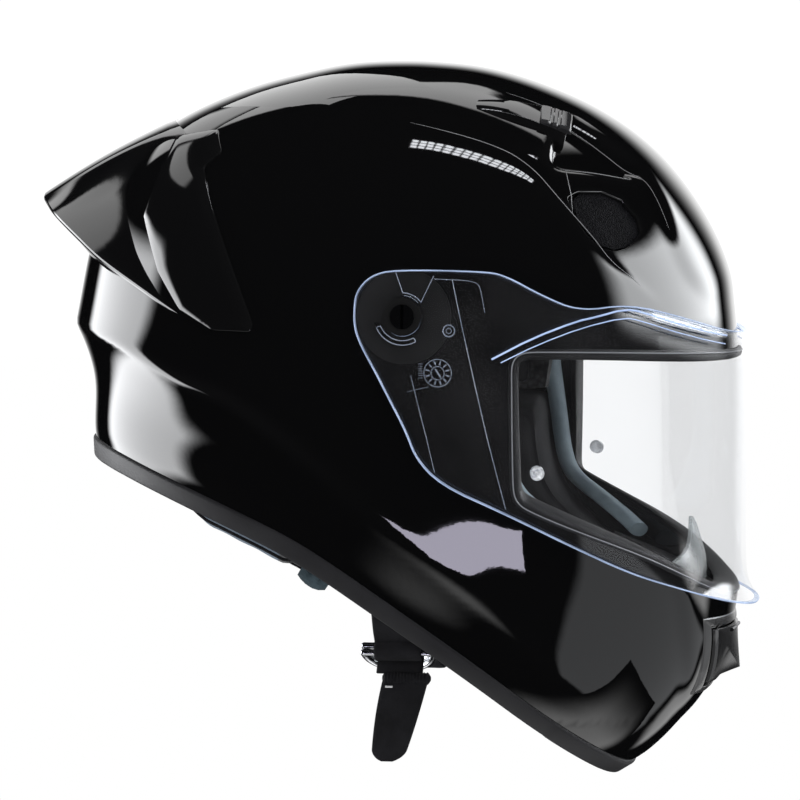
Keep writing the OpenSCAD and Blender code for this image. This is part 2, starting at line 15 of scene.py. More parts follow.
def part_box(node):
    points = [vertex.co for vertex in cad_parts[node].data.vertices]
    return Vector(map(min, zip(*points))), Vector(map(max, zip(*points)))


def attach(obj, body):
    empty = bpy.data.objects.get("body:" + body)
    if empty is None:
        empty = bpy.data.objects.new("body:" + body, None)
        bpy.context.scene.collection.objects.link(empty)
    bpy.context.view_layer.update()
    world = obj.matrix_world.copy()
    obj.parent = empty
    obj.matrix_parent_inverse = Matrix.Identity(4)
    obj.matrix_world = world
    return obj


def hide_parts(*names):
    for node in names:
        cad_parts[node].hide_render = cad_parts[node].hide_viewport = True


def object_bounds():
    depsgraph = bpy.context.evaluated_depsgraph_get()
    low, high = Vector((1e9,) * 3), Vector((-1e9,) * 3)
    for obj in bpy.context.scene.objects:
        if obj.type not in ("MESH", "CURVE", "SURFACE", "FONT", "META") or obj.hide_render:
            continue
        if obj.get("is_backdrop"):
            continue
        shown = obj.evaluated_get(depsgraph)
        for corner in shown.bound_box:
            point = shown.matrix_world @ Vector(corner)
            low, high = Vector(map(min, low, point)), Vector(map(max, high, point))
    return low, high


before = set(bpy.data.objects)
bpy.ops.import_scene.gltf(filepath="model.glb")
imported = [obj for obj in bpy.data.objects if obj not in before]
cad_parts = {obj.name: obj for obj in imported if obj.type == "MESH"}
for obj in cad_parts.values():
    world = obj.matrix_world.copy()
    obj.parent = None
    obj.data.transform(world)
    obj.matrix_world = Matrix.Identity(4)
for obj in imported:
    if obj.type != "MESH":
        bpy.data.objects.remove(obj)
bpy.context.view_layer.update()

HUB_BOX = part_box("pivot_hub_left")
# the pivot axis in the CAD frame, metres
ORIGIN = np.array([0, 0.5 * (HUB_BOX[0][1] + HUB_BOX[1][1]), 0.5 * (HUB_BOX[0][2] + HUB_BOX[1][2])])

# ---------------------------------------------------------------- body surface, mm
HALF_WIDTH = 125.0
ROUND_POWER = 2.25          # exponent of the cross-section's superellipse
TAPER_START, TAPER_LENGTH, TAPER_AMOUNT = 10, 160.0, 0.12   # narrowing below this height
SHELL_THICKNESS = 4.2
VISOR_OUTER, VISOR_INNER = 4.2, 1.9                         # height of the pane's faces

# side view of the body: phi in degrees, radius
PROFILE = np.array([
    (-67.4, 236.5), (-60, 223), (-53.3, 215), (-46.7, 199), (-36.4, 169.9), (-27.6, 155.4),
    (-17.4, 144.8), (-6, 138.5), (3.4, 136.6), (10.3, 134.6), (18.8, 130.8), (28.4, 127.2),
    (37.2, 124.7), (51.3, 119.9), (64.4, 116.6), (77.1, 116.2), (89.3, 118.1), (101, 121.2),
    (121.1, 131.8), (135.7, 146.3), (144.8, 158.1), (152.5, 166.6), (160.3, 171.3),
    (167.2, 172.8), (172.3, 171.9), (178.4, 171.4), (185.7, 170.3), (193, 171.4), (198, 178.7),
    (210, 188), (225, 198), (240, 205), (255, 211), (270, 218), (282, 228), (292.6, 236.5)])
PHI_STEP = 0.1
PHI_BLUR = 4.2
PHI_TABLE = np.arange(-67.4, 292.6, PHI_STEP)


def smoothed_profile():
    """Radius at each entry of PHI_TABLE, blurred round the closed profile"""
    radius = np.interp(PHI_TABLE, PROFILE[:, 0], PROFILE[:, 1])
    reach = int(PHI_BLUR * 4 / PHI_STEP)
    kernel = np.exp(-0.5 * (np.arange(-reach, reach + 1) * PHI_STEP / PHI_BLUR) ** 2)
    kernel /= kernel.sum()
    wrapped = np.concatenate([radius[-reach:], radius, radius[:reach]])
    return np.convolve(wrapped, kernel, "valid")


RADIUS_TABLE = smoothed_profile()


def side_radius(phi):
    phi = (np.asarray(phi, float) + 67.4) % 360.0 - 67.4
    return np.interp(phi, PHI_TABLE, RADIUS_TABLE, period=360.0)


def side_phi(y, z):
    return np.degrees(np.arctan2(z, -y))


def taper(z):
    depth = np.clip((TAPER_START - z) / TAPER_LENGTH, 0, 1.25)
    return 1 - TAPER_AMOUNT * depth ** 1.5


def signed_power(value, exponent):
    return np.sign(value) * np.abs(value) ** exponent


def surface(phi, t, inset=0.0):
    phi, t = np.radians(phi), np.radians(t)
    radius = (side_radius(np.degrees(phi)) - inset) * np.abs(np.cos(t)) ** (2 / ROUND_POWER)
    z = radius * np.sin(phi)
    x = (HALF_WIDTH - inset) * signed_power(np.sin(t), 2 / ROUND_POWER) * taper(z)
    return np.stack([x, -radius * np.cos(phi), z], -1)


def surface_x(y, z, inset=0.0):
    """Half width of the surface at a place in the side view"""
    y, z = np.asarray(y, float), np.asarray(z, float)
    ratio = np.hypot(y, z) / (side_radius(side_phi(y, z)) - inset)
    across = np.clip(1 - ratio ** ROUND_POWER, 0, None) ** (1 / ROUND_POWER)
    return (HALF_WIDTH - inset) * taper(z) * across


def surface_at_x(x, phi, inset):
    """Point at half width x and side-view angle phi, without the taper"""
    across = np.clip(1 - (np.abs(x) / (HALF_WIDTH - inset)) ** ROUND_POWER, 0, None)
    radius = (side_radius(phi) - inset) * across ** (1 / ROUND_POWER)
    phi = np.radians(phi)
    return np.array([x, -radius * np.cos(phi), radius * np.sin(phi)])


def level(points, inset=0.0):
    """Negative inside the surface, positive outside"""
    x, y, z = points[..., 0], points[..., 1], points[..., 2]
    ratio = np.hypot(y, z) / (side_radius(side_phi(y, z)) - inset)
    width = (HALF_WIDTH - inset) * taper(z)
    return ratio ** ROUND_POWER + (np.abs(x) / width) ** ROUND_POWER - 1


NUDGE = 0.05                # step for slopes of level()


def outward(points, inset=0.0):
    """Unit normals of the surface"""
    slope = np.zeros_like(points)
    for i in range(3):
        step = np.zeros(3)
        step[i] = NUDGE
        slope[..., i] = level(points + step, inset) - level(points - step, inset)
    length = np.linalg.norm(slope, axis=-1, keepdims=True)
    return slope / np.where(length < 1e-12, 1, length)


# ---------------------------------------------------------------- curves
def rise(value, start, over):
    """Smooth step from 0 at start to 1 at start + over"""
    x = np.clip((value - start) / over, 0, 1)
    return x * x * (3 - 2 * x)


def around(count):
    return np.linspace(0, 2 * math.pi, count, endpoint=False)


def chaikin(points, rounds, closed=False):
    """Rounds the corners of a line by cutting them off, again and again"""
    points = np.array(points, float)
    for _ in range(rounds):
        start, end = points, np.roll(points, -1, 0)
        if not closed:
            start, end = points[:-1], points[1:]
        cut = np.stack([0.75 * start + 0.25 * end, 0.25 * start + 0.75 * end], 1)
        cut = cut.reshape(-1, points.shape[1])
        points = cut if closed else np.concatenate([points[:1], cut, points[-1:]])
    return points


def resample(points, count, closed=False):
    points = np.array(points, float)
    if closed:
        points = np.concatenate([points, points[:1]])
    steps = np.linalg.norm(np.diff(points, axis=0), axis=1)
    length = np.concatenate([[0], np.cumsum(steps)])
    places = np.linspace(0, length[-1], count + 1)[:-1] if closed else np.linspace(
        0, length[-1], count)
    return np.stack([np.interp(places, length, column) for column in points.T], -1)


def catmull(points, steps):
    """Catmull-Rom curve through the points"""
    points = np.array(points, float)
    padded = np.concatenate([[2 * points[0] - points[1]], points, [2 * points[-1] - points[-2]]])
    out = []
    for a, b, c, d in zip(padded, padded[1:], padded[2:], padded[3:]):
        for t in np.linspace(0, 1, steps, endpoint=False):
            out.append(0.5 * ((2 * b) + (-a + c) * t + (2 * a - 5 * b + 4 * c - d) * t * t
                              + (-a + 3 * b - 3 * c + d) * t ** 3))
    out.append(points[-1])
    return np.array(out)


def line_distance(y, z, line):
    """Signed distance (positive left of the direction of travel) and place along it, 0..1"""
    line = np.array(line, float)
    segments = np.diff(line, axis=0)
    lengths = np.linalg.norm(segments, axis=1)
    travelled = np.concatenate([[0], np.cumsum(lengths)])
    nearest = np.full(y.shape, 1e9)
    signed = np.zeros(y.shape)
    along = np.zeros(y.shape)
    for i, (dy, dz) in enumerate(segments):
        from_y, from_z = y - line[i, 0], z - line[i, 1]
        t = np.clip((from_y * dy + from_z * dz) / (lengths[i] ** 2), 0, 1)
        distance = np.hypot(from_y - t * dy, from_z - t * dz)
        closer = distance < nearest
        nearest = np.where(closer, distance, nearest)
        left = dy * from_z - dz * from_y >= 0
        signed = np.where(closer, np.where(left, distance, -distance), signed)
        along = np.where(closer, (travelled[i] + t * lengths[i]) / travelled[-1], along)
    return signed, along


def outline_distance(y, z, outline):
    """Distance to a closed outline, negative inside"""
    outline = np.array(outline, float)
    nearest = np.full(y.shape, 1e9)
    inside = np.zeros(y.shape, bool)
    for a, b in zip(outline, np.roll(outline, -1, 0)):
        edge = b - a
        square = edge @ edge
        if square < 1e-12:
            continue
        from_y, from_z = y - a[0], z - a[1]
        t = np.clip((from_y * edge[0] + from_z * edge[1]) / square, 0, 1)
        nearest = np.minimum(nearest, np.hypot(from_y - t * edge[0], from_z - t * edge[1]))
        spans = (a[1] > z) != (b[1] > z)
        crossing = a[0] + from_z / (edge[1] if edge[1] != 0 else 1e-9) * edge[0]
        inside ^= spans & (y < crossing)
    return np.where(inside, -nearest, nearest)


# ---------------------------------------------------------------- side-view lines (y, z), mm
RIM = chaikin([
    [205, -50], [159, -60], [113, -77], [64, -98], [43, -110], [12, -132], [-27, -161],
    [-60, -189], [-81, -205], [-98, -219], [-112, -232]], 2)
EYEPORT = chaikin([
    [-48, -26], [-48, -16], [-62, -16], [-90, -16.5], [-127, -18], [-190, -21], [-190, -158],
    [-135, -131], [-119, -119], [-101, -108], [-64, -92], [-54, -87], [-48, -84], [-48, -74]],
    3, True)
VISOR = chaikin([
    [22, 4], [21, 11], [15, 18], [4, 21], [-37, 20], [-46, 18], [-62, 9], [-78, 2], [-99, 5],
    [-122, -2], [-140, -10], [-175, -20], [-175, -158], [-150, -143], [-134, -134],
    [-119, -127], [-98, -118], [-76, -106], [-44, -89], [-16, -76], [-5, -64], [-1, -52],
    [6, -38], [13, -24], [19, -13], [22, -5]], 2, True)
VISOR_RIDGE = chaikin([
    [-24, -26], [-46, -12], [-62, -5], [-77, -2], [-97, 1], [-120, -6], [-145, -15]], 2)
BROW_HOLE = chaikin([
    [-69, 57], [-90, 57], [-104, 41], [-99, 31], [-90, 28.5], [-80, 35], [-73, 46]], 1, True)
# crease from the rear, forward and down into the jaw
SWAGE = chaikin([
    [190, -1], [176, -3], [152, -9], [135, -13], [108, -29], [91, -34], [76, -41], [54, -58],
    [36, -73], [13, -95], [-15, -117], [-46, -145], [-64, -165], [-86, -190]], 3)
# the next three are reversed so that "left" is the raised or lowered side of each line
CHANNEL = chaikin([
    [14, 90], [-6, 86], [-35, 78], [-53, 69], [-68, 52], [-83, 35], [-90, 25], [-101, 16],
    [-112, 4], [-122, -12]], 3)[::-1]
BAND = chaikin([
    [14, 108], [-12, 107], [-38, 102], [-62, 92], [-80, 80], [-96, 67], [-104, 58],
    [-111, 44], [-117, 28], [-124, 14], [-132, 2], [-146, -8]], 3)[::-1]
CHIN_CORNER = chaikin([[-112, -112], [-118, -131], [-119, -150], [-119, -172], [-112, -196]],
                      2)[::-1]
CHANNEL_TOP = chaikin([[-50, 72], [-64, 67.5], [-80, 66], [-96, 63], [-112, 56]], 1)
FIN_FOOT = np.array([
    [118, 82], [96, 84.5], [91.5, 74.5], [99.5, 67.5], [93, 50], [85, 31], [77, 12],
    [70.6, -3.5], [71.5, -6.8], [90, -6.2], [106, 3], [118, 20], [128, 45]], float)
CHEEK = chaikin([
    [-36, -44], [-30, -42], [-10, -40], [38, -52], [52, -70], [46, -92], [14, -116],
    [-24, -144], [-58, -168], [-80, -152], [-84, -130], [-62, -106], [-46, -92], [-38, -70]],
    3, True)
CHEEK_ROLL = chaikin([
    [-35.5, -12], [-36.5, -27], [-40.5, -51], [-44, -74], [-49.5, -84.5], [-62, -93],
    [-76, -103], [-84, -109.5]], 3)
CROWN_EDGE = [[-200, 12], [-50, 12], [-30, -6], [-25, -34], [60, -42], [105, -52], [205, -30]]
# front view (x, z)
GUARD = chaikin([
    [-68, -150], [-65, -122], [-54, -111], [-30, -103], [-13, -94], [0, -88], [13, -94],
    [30, -103], [54, -111], [65, -122], [68, -150]], 2, True)


# ---------------------------------------------------------------- styling of the shell
def rim_height(y, z):
    """Distance above the bottom edge"""
    return -line_distance(y, z, RIM)[0]


def styling(y, z):
    """Creases, ridges and channels, as a height along the surface's normal"""
    rim = rim_height(y, z)

    # swage: a crest that fades forward, wider above the line than below
    below, along = line_distance(y, z, SWAGE)
    above = -below
    crest = 5.0 * (1 - rise(along, 0.16, 0.5)) + 2.4 * (1 - rise(along, 0.82, 0.18))
    falloff = np.where(above > 0, 24 - 6 * along, 15 - 3 * along)
    height = crest * np.exp(-np.abs(above) / falloff)
    # shallow hollow centred 26 below the swage, behind
    hollow = 1.1 * np.exp(-((above + 26) / 15) ** 2)
    height -= hollow * (1 - rise(along, 0.25, 0.45)) * rise(rim, -4, 10)

    # brow channel, sunk 7.4 below its top line, with a step of 1.0 where it runs on behind
    inner, _ = line_distance(y, z, CHANNEL)
    drop = rise(-line_distance(y, z, CHANNEL_TOP)[0], -0.5, 5.5)
    run_out = 1 - 0.62 * rise(-z, -40, 38)
    channel = rise(inner, -0.3, 3.4) * drop * run_out * rise(-y, 60, 7)
    band = rise(line_distance(y, z, BAND)[0], -0.8, 2.6)
    side_fade = rise(-y, -6, 34)
    low_fade = rise(z, np.clip((-y - 110) * 0.1, 0, 9), 16)
    step = rise(inner, -0.6, 1.6) * (1 - drop) * side_fade
    height += (-7.4 * channel * (1 - band) - 1.0 * step * (1 - band)) * low_fade
    # raised band above the channel
    height += 0.9 * band * side_fade * low_fade

    # crease across the chin bar's corner
    corner = rise(line_distance(y, z, CHIN_CORNER)[0], -1.0, 4.0)
    height += 1.5 * corner * rise(-z, 118, 8) * rise(rim, 0, 16)
    # the edge turns in slightly where it meets the trim
    return height - 0.5 * (1 - rise(rim, -4.0, 9.0))


CELL = 0.8                  # grid spacing of the styling field
FIELD_Y = np.arange(-245, 246, CELL)
FIELD_Z = np.arange(-262, 152, CELL)


def blurred(field, reach, sigma):
    """Gaussian blur; reach is in cells, sigma in mm"""
    kernel = np.exp(-0.5 * (np.arange(-reach, reach + 1) * CELL / sigma) ** 2)
    kernel /= kernel.sum()
    for axis in (0, 1):
        field = sum(np.roll(field, i, axis) * kernel[i + reach]
                    for i in range(-reach, reach + 1))
    return field


def styling_field():
    y, z = np.meshgrid(FIELD_Y, FIELD_Z, indexing="ij")
    crisp = blurred(styling(y, z), reach=8, sigma=1.5)
    soft = blurred(crisp, reach=14, sigma=3.4)
    # the jaw's ridge is rounder than the creases behind and above
    jaw = rise(-z, 62, 26.0) * rise(-y, -84, 34.0) * rise(y, -116, 12.0)
    return crisp * (1 - jaw) + soft * jaw


FIELD = styling_field()


def spline_weights(t):
    return [(1 - t) ** 3 / 6, (3 * t ** 3 - 6 * t ** 2 + 4) / 6,
            (-3 * t ** 3 + 3 * t ** 2 + 3 * t + 1) / 6, t ** 3 / 6]


def styled_height(points):
    """Smooth lookup of the styling field"""
    a = (points[..., 1] - FIELD_Y[0]) / CELL
    b = (points[..., 2] - FIELD_Z[0]) / CELL
    i = np.clip(np.floor(a).astype(int), 1, len(FIELD_Y) - 3)
    j = np.clip(np.floor(b).astype(int), 1, len(FIELD_Z) - 3)
    weights_y, weights_z = spline_weights(a - i), spline_weights(b - j)
    height = np.zeros(points.shape[:-1])
    for m in range(4):
        for n in range(4):
            height += FIELD[i + m - 1, j + n - 1] * weights_y[m] * weights_z[n]
    return height


def plain_skin(par, height):
    """Surface raised by a height, a number or one per point; par rows are (phi, t)"""
    points = surface(par[:, 0], par[:, 1])
    return points + outward(points) * np.reshape(height, (-1, 1))


def styled_skin(par, inset=0.0):
    return plain_skin(par, styled_height(surface(par[:, 0], par[:, 1])) - inset)


# ---------------------------------------------------------------- mesh tools
def build(name, shape, materials, slot, body="helmet", replaces=(), crease=None, normals=None,
          face_materials=None):
    """Makes an object of (verts in mm, faces); edges sharper than crease degrees stay sharp"""
    verts, faces = shape
    mesh = bpy.data.meshes.new(name)
    mesh.from_pydata((np.array(verts, float) / 1000.0 + ORIGIN).tolist(), [], faces)
    mesh.update()
    for material in materials:
        mesh.materials.append(material)
    if face_materials is not None:
        mesh.polygons.foreach_set("material_index", np.array(face_materials, np.int32))
    mesh.polygons.foreach_set("use_smooth", np.full(len(mesh.polygons), True))
    if normals is not None:
        mesh.normals_split_custom_set_from_vertices(normals.tolist())
    obj = bpy.data.objects.new(name, mesh)
    bpy.context.scene.collection.objects.link(obj)
    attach(obj, body)
    if replaces:
        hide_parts(*replaces)
    if crease is not None:
        face_outwards(mesh)
        mark_sharp(mesh, math.radians(crease))
    return obj


def face_outwards(mesh):
    bm = bmesh.new()
    bm.from_mesh(mesh)
    bmesh.ops.recalc_face_normals(bm, faces=bm.faces)
    bm.to_mesh(mesh)
    bm.free()
    mesh.update()


def mark_sharp(mesh, limit):
    bm = bmesh.new()
    bm.from_mesh(mesh)
    for edge in bm.edges:
        edge.smooth = not (len(edge.link_faces) == 2 and edge.calc_face_angle(0) > limit)
    bm.to_mesh(mesh)
    bm.free()
    mesh.update()


def bevel(obj, width, limit):
    modifier = obj.modifiers.new("bevel", "BEVEL")
    modifier.width = width
    modifier.segments = 2
    modifier.limit_method = "ANGLE"
    modifier.angle_limit = math.radians(limit)


def tube_faces(count, sides, closed):
    """Quads between rings of points, with end caps when the row of rings is open"""
    faces = []
    for i in range(count if closed else count - 1):
        here, there = i * sides, (i + 1) % count * sides
        for j in range(sides):
            k = (j + 1) % sides
            faces.append([here + j, here + k, there + k, there + j])
    if not closed:
        faces.append(list(range(sides))[::-1])
        faces.append([(count - 1) * sides + j for j in range(sides)])
    return faces


def loft(sections, closed=False):
    """Joins rings of points into a tube"""
    sections = np.array(sections, float)
    return sections.reshape(-1, 3), tube_faces(len(sections), sections.shape[1], closed)


def sweep(path, normals, profile, closed=True):
    """Sweeps a profile of (along the normal, sideways) over a path"""
    ahead = (np.roll(path, -1, 0) - np.roll(path, 1, 0)) if closed else np.gradient(path, axis=0)
    ahead /= np.maximum(np.linalg.norm(ahead, axis=1, keepdims=True), 1e-9)
    normals = normals - (normals * ahead).sum(1, keepdims=True) * ahead
    normals /= np.linalg.norm(normals, axis=1, keepdims=True)
    side = np.cross(ahead, normals)
    rings = (path[:, None, :] + normals[:, None, :] * profile[None, :, 0:1]
             + side[:, None, :] * profile[None, :, 1:2])
    return loft(rings, closed)


def ellipse(centre, first, second, radius_first, radius_second, count):
    """Ring of points round a centre, in the plane of two directions"""
    angle = around(count)
    return (np.asarray(centre) + np.outer(np.cos(angle) * radius_first, first)
            + np.outer(np.sin(angle) * radius_second, second))


def join(shapes):
    verts, faces, base = [], [], 0
    for part_verts, part_faces in shapes:
        verts.append(part_verts)
        faces += [[i + base for i in face] for face in part_faces]
        base += len(part_verts)
    return np.concatenate(verts), faces


def grid(columns, rows, t_span, phi_span=(0.0, 360.0)):
    """Quads over (phi, t); a full turn of phi is closed"""
    start, end = phi_span
    closed = abs(end - start - 360) < 1e-6
    phi = start + (end - start) * np.arange(columns + (0 if closed else 1)) / columns
    count = len(phi)
    par = np.stack([np.tile(phi, rows + 1), np.repeat(np.linspace(*t_span, rows + 1), count)], -1)
    i, j = np.meshgrid(np.arange(rows), np.arange(columns), indexing="ij")
    a = i * count + j
    b = i * count + (j + 1) % count
    return par, np.stack([a, b, b + count, a + count], -1).reshape(-1, 4)


def clip(par, faces, field):
    """Keeps the part of a grid where the field is positive, cutting the faces on its edge"""
    keep = field(par) >= 0
    kept = keep[faces]
    whole = faces[kept.all(1)].tolist()
    cuts, ends_in, ends_out, trimmed = {}, [], [], []
    for face in faces[kept.any(1) & ~kept.all(1)].tolist():
        corners = []
        for a, b in zip(face, face[1:] + face[:1]):
            if keep[a]:
                corners.append(a)
            if keep[a] != keep[b]:
                key = (min(a, b), max(a, b))
                if key not in cuts:
                    cuts[key] = len(par) + len(ends_in)
                    ends_in.append(a if keep[a] else b)
                    ends_out.append(b if keep[a] else a)
                corners.append(cuts[key])
        if len(corners) >= 3:
            trimmed.append(corners)
    start, end = par[ends_in], par[ends_out]
    end[:, 0] -= 360 * np.round((end[:, 0] - start[:, 0]) / 360)
    low, high = np.zeros(len(start)), np.ones(len(start))
    for _ in range(12):
        middle = (low + high) / 2
        positive = field(start + (end - start) * middle[:, None]) >= 0
        low = np.where(positive, middle, low)
        high = np.where(positive, high, middle)
    par = np.concatenate([par, start + (end - start) * ((low + high) / 2)[:, None]])
    faces = whole + trimmed
    used = sorted({i for face in faces for i in face})
    place = {old: new for new, old in enumerate(used)}
    return par[used], [[place[i] for i in face] for face in faces]


def skin_normals(position, par, step=0.12):
    """Unit normals of a skin, pointing away from the middle of the body"""
    by_phi = position(par + [step, 0]) - position(par - [step, 0])
    by_t = position(par + [0, step]) - position(par - [0, step])
    normals = np.cross(by_phi, by_t)
    normals /= np.maximum(np.linalg.norm(normals, axis=1, keepdims=True), 1e-12)
    sign = np.sign((normals * outward(position(par))).sum(1))
    sign[sign == 0] = 1
    return normals * sign[:, None]


def border(faces):
    """Edges that only one face uses, in that face's direction"""
    edges = {(a, b): True for face in faces for a, b in zip(face, face[1:] + face[:1])}
    return [edge for edge in edges if edge[::-1] not in edges]


# rings of a wall's rounded outer corner: how far out, how far in
CORNER_RINGS = [(0, 0), (0.3, 0.05), (0.7, 0.3), (1, 1)]
CORNER_RADIUS = 0.7


def skin(name, grid_shape, field, outer, inner, materials, slot, **options):
    """A closed sheet: a clipped grid seen from outside and inside, and the walls between.

    Without a crease it keeps the exact normals; a second material goes on the walls."""
    par, faces = clip(*grid_shape, field)
    top, bottom = outer(par), inner(par)
    top_normals, bottom_normals = skin_normals(outer, par), -skin_normals(inner, par)
    a, b, c = faces[0][:3]
    if np.cross(top[b] - top[a], top[c] - top[b]) @ top_normals[a] < 0:
        faces = [face[::-1] for face in faces]
    count = len(top)
    out = faces + [[i + count for i in face[::-1]] for face in faces]
    sheet_faces = len(out)

    edges = border(faces)
    ids = sorted({i for edge in edges for i in edge})
    place = {old: new for new, old in enumerate(ids)}
    upper, lower, up = top[ids], bottom[ids], top_normals[ids]
    ahead = np.zeros_like(upper)
    for a, b in edges:
        step = top[b] - top[a]
        ahead[place[a]] += step
        ahead[place[b]] += step
    side = np.cross(ahead, up)
    side /= np.maximum(np.linalg.norm(side, axis=1, keepdims=True), 1e-9)
    thickness = np.linalg.norm(lower - upper, axis=1, keepdims=True)
    radius = np.minimum(CORNER_RADIUS, thickness * 0.4)
    verts, normals = [top, bottom], [top_normals, bottom_normals]
    for k, (to_side, to_depth) in enumerate(CORNER_RINGS):
        angle = (k / 3) * math.pi / 2
        verts.append(upper + side * radius * to_side * 0.9 - up * radius * to_depth)
        normals.append(up * math.cos(angle) + side * math.sin(angle))
    verts += [lower + side * radius * 0.9, lower]
    normals += [side, side]
    ring = len(ids)
    for a, b in edges:
        i, j = place[a], place[b]
        for k in range(len(verts) - 3):
            base = 2 * count + k * ring
            out.append([base + j, base + i, base + ring + i, base + ring + j])

    if "crease" not in options:
        options["normals"] = np.concatenate(normals)
    if len(materials) > 1:
        options["face_materials"] = [0] * sheet_faces + [1] * (len(out) - sheet_faces)
    return build(name, (np.concatenate(verts), out), materials, slot, **options)


# ---------------------------------------------------------------- materials
class Shader:
    """The node tree of a material or world, with short ways to add and link nodes"""

    def __init__(self, owner, output="OutputMaterial"):
        self.owner = owner
        owner.use_nodes = True
        self.tree = owner.node_tree
        self.tree.nodes.clear()
        self.output = self.add(output)

    def add(self, kind, values=None, **settings):
        node = self.tree.nodes.new("ShaderNode" + kind)
        for key, value in settings.items():
            setattr(node, key, value)
        for key, value in (values or {}).items():
            node.inputs[key].default_value = value
        return node

    def link(self, source, node, socket):
        if isinstance(source, bpy.types.Node):
            source = source.outputs[0]
        self.tree.links.new(source, node.inputs[socket])

    def finish(self, surface_node):
        self.link(surface_node, self.output, 0)
        return self.owner

    def principled(self, colour, roughness, **values):
        """Values are inputs by name, with _ for a space"""
        values = {key.replace("_", " "): value for key, value in values.items()}
        return self.add("BsdfPrincipled", {"Base Color": (*colour, 1), "Roughness": roughness,
                                           **values})

    def coords(self, stretch=(1.0, 1.0, 1.0)):
        source = self.add("TexCoord")
        mapping = self.add("Mapping", {"Scale": stretch})
        self.link(source.outputs["Object"], mapping, "Vector")
        return mapping

    def noise(self, vector, scale, detail=3, roughness=0.5):
        node = self.add("TexNoise", {"Scale": scale, "Detail": detail, "Roughness": roughness})
        self.link(vector, node, "Vector")
        return node.outputs["Fac"]

    def ramp(self, source, low, high):
        """Colour ramp between two (position, colour) stops"""
        node = self.add("ValToRGB")
        for element, (position, colour) in zip(node.color_ramp.elements, (low, high)):
            element.position = position
            element.color = (*colour, 1)
        self.link(source, node, 0)
        return node

    def remap(self, source, span, to, **settings):
        node = self.add("MapRange", {"From Min": span[0], "From Max": span[1],
                                     "To Min": to[0], "To Max": to[1]}, **settings)
        self.link(source, node, "Value")
        return node

    def bump(self, height, node, strength, distance, socket="Normal"):
        bump_node = self.add("Bump", {"Strength": strength, "Distance": distance})
        self.link(height, bump_node, "Height")
        self.link(bump_node, node, socket)

    def edge_wear_and_highlight(self, node, colour, worn_and_lit, lightened_from):
        """Lightens the base colour on sharp edges: wear and a painted highlight"""
        sharpness = self.add("NewGeometry").outputs["Pointiness"]
        self.link(self.ramp(sharpness, (0.5, colour), (lightened_from, worn_and_lit)), node, "Base Color")

    def math(self, operation, first, second):
        """second is a number, a node or a socket"""
        node = self.add("Math", operation=operation)
        self.link(first, node, 0)
        if isinstance(second, (int, float)):
            node.inputs[1].default_value = second
        else:
            self.link(second, node, 1)
        return node

    def mix(self, factor, first, second):
        node = self.add("MixShader")
        for i, source in enumerate((factor, first, second)):
            self.link(source, node, i)
        return node


def new_shader(name):
    return Shader(bpy.data.materials.new(name))


def scaled(colour, factor, lift=0.0):
    return tuple(min(1, value * factor + lift) for value in colour)


def gloss_black(name, base, roughness):
    """Near-black paint under a clear coat"""
    sh = new_shader(name)
    colour = (base, base, base * 1.08)
    paint = sh.principled(colour, 0.5, IOR=1.5, Specular_IOR_Level=0.0, Coat_Weight=1.0,
                          Coat_Roughness=roughness, Coat_IOR=1.53)
    vector = sh.coords()
    orange_peel = sh.noise(vector, scale=260.0, detail=2)
    haze = sh.noise(vector, scale=9.0, detail=4, roughness=0.6)
    coat = sh.remap(haze, span=(0.35, 0.75), to=(roughness * 0.75, roughness * 1.7))
    sh.link(coat, paint, "Coat Roughness")
    sh.bump(orange_peel, paint, strength=0.018, distance=0.0004, socket="Coat Normal")
    sh.edge_wear_and_highlight(paint, colour, worn_and_lit=(0.009, 0.009, 0.0095), lightened_from=0.62)
    return sh.finish(paint)


def rubber(name, colour, roughness):
    sh = new_shader(name)
    base = sh.principled(colour, roughness, Specular_IOR_Level=0.35)
    vector = sh.coords()
    grain = sh.noise(vector, scale=900.0)
    patches = sh.noise(vector, scale=30.0, detail=4)
    sh.bump(grain, base, strength=0.25, distance=0.0002)
    tone = sh.ramp(patches, (0.3, scaled(colour, 0.85)), (0.75, scaled(colour, 1.25, 0.004)))
    sh.link(tone, base, "Base Color")
    sh.link(sh.remap(patches, span=(0.2, 0.8), to=(roughness - 0.07, roughness + 0.1)),
            base, "Roughness")
    return sh.finish(base)


def satin(name, colour, roughness, grain=0.03, edge=0.02, specular=0.5):
    """Smooth plastic; grain is the bump's strength, edge lightens corners (wear, painted highlight)
    """
    sh = new_shader(name)
    base = sh.principled(colour, roughness, Specular_IOR_Level=specular)
    vector = sh.coords()
    fine = sh.noise(vector, scale=1400.0, detail=2)
    patches = sh.noise(vector, scale=40.0)
    sh.bump(fine, base, strength=grain, distance=0.00015)
    sh.link(sh.remap(patches, span=(0.25, 0.75), to=(roughness * 0.8, roughness * 1.3)),
            base, "Roughness")
    sh.edge_wear_and_highlight(base, colour, worn_and_lit=scaled(colour, 1.8, edge), lightened_from=0.6)
    return sh.finish(base)


def fabric(name, dark, light, sheen, fibre, strength, weave=None):
    """Cloth; fibre and weave are texture scales, strength is the bump's"""
    sh = new_shader(name)
    base = sh.principled(dark, 0.9, Sheen_Weight=sheen, Sheen_Roughness=0.45,
                         Specular_IOR_Level=0.2, Sheen_Tint=(*scaled(light, 2.2, 0.1), 1))
    vector = sh.coords()
    height = sh.noise(vector, scale=fibre, roughness=0.7)
    patches = sh.noise(vector, scale=55.0, detail=5, roughness=0.65)
    sh.link(sh.ramp(patches, (0.3, dark), (0.72, light)), base, "Base Color")
    if weave:
        bands = sh.add("TexWave", {"Scale": weave, "Distortion": 0.6},
                       wave_type="BANDS", bands_direction="DIAGONAL")
        sh.link(vector, bands, "Vector")
        height = sh.math("ADD", bands.outputs["Fac"], height)
    sh.bump(height, base, strength=strength, distance=0.0004 if weave else 0.0005)
    return sh.finish(base)


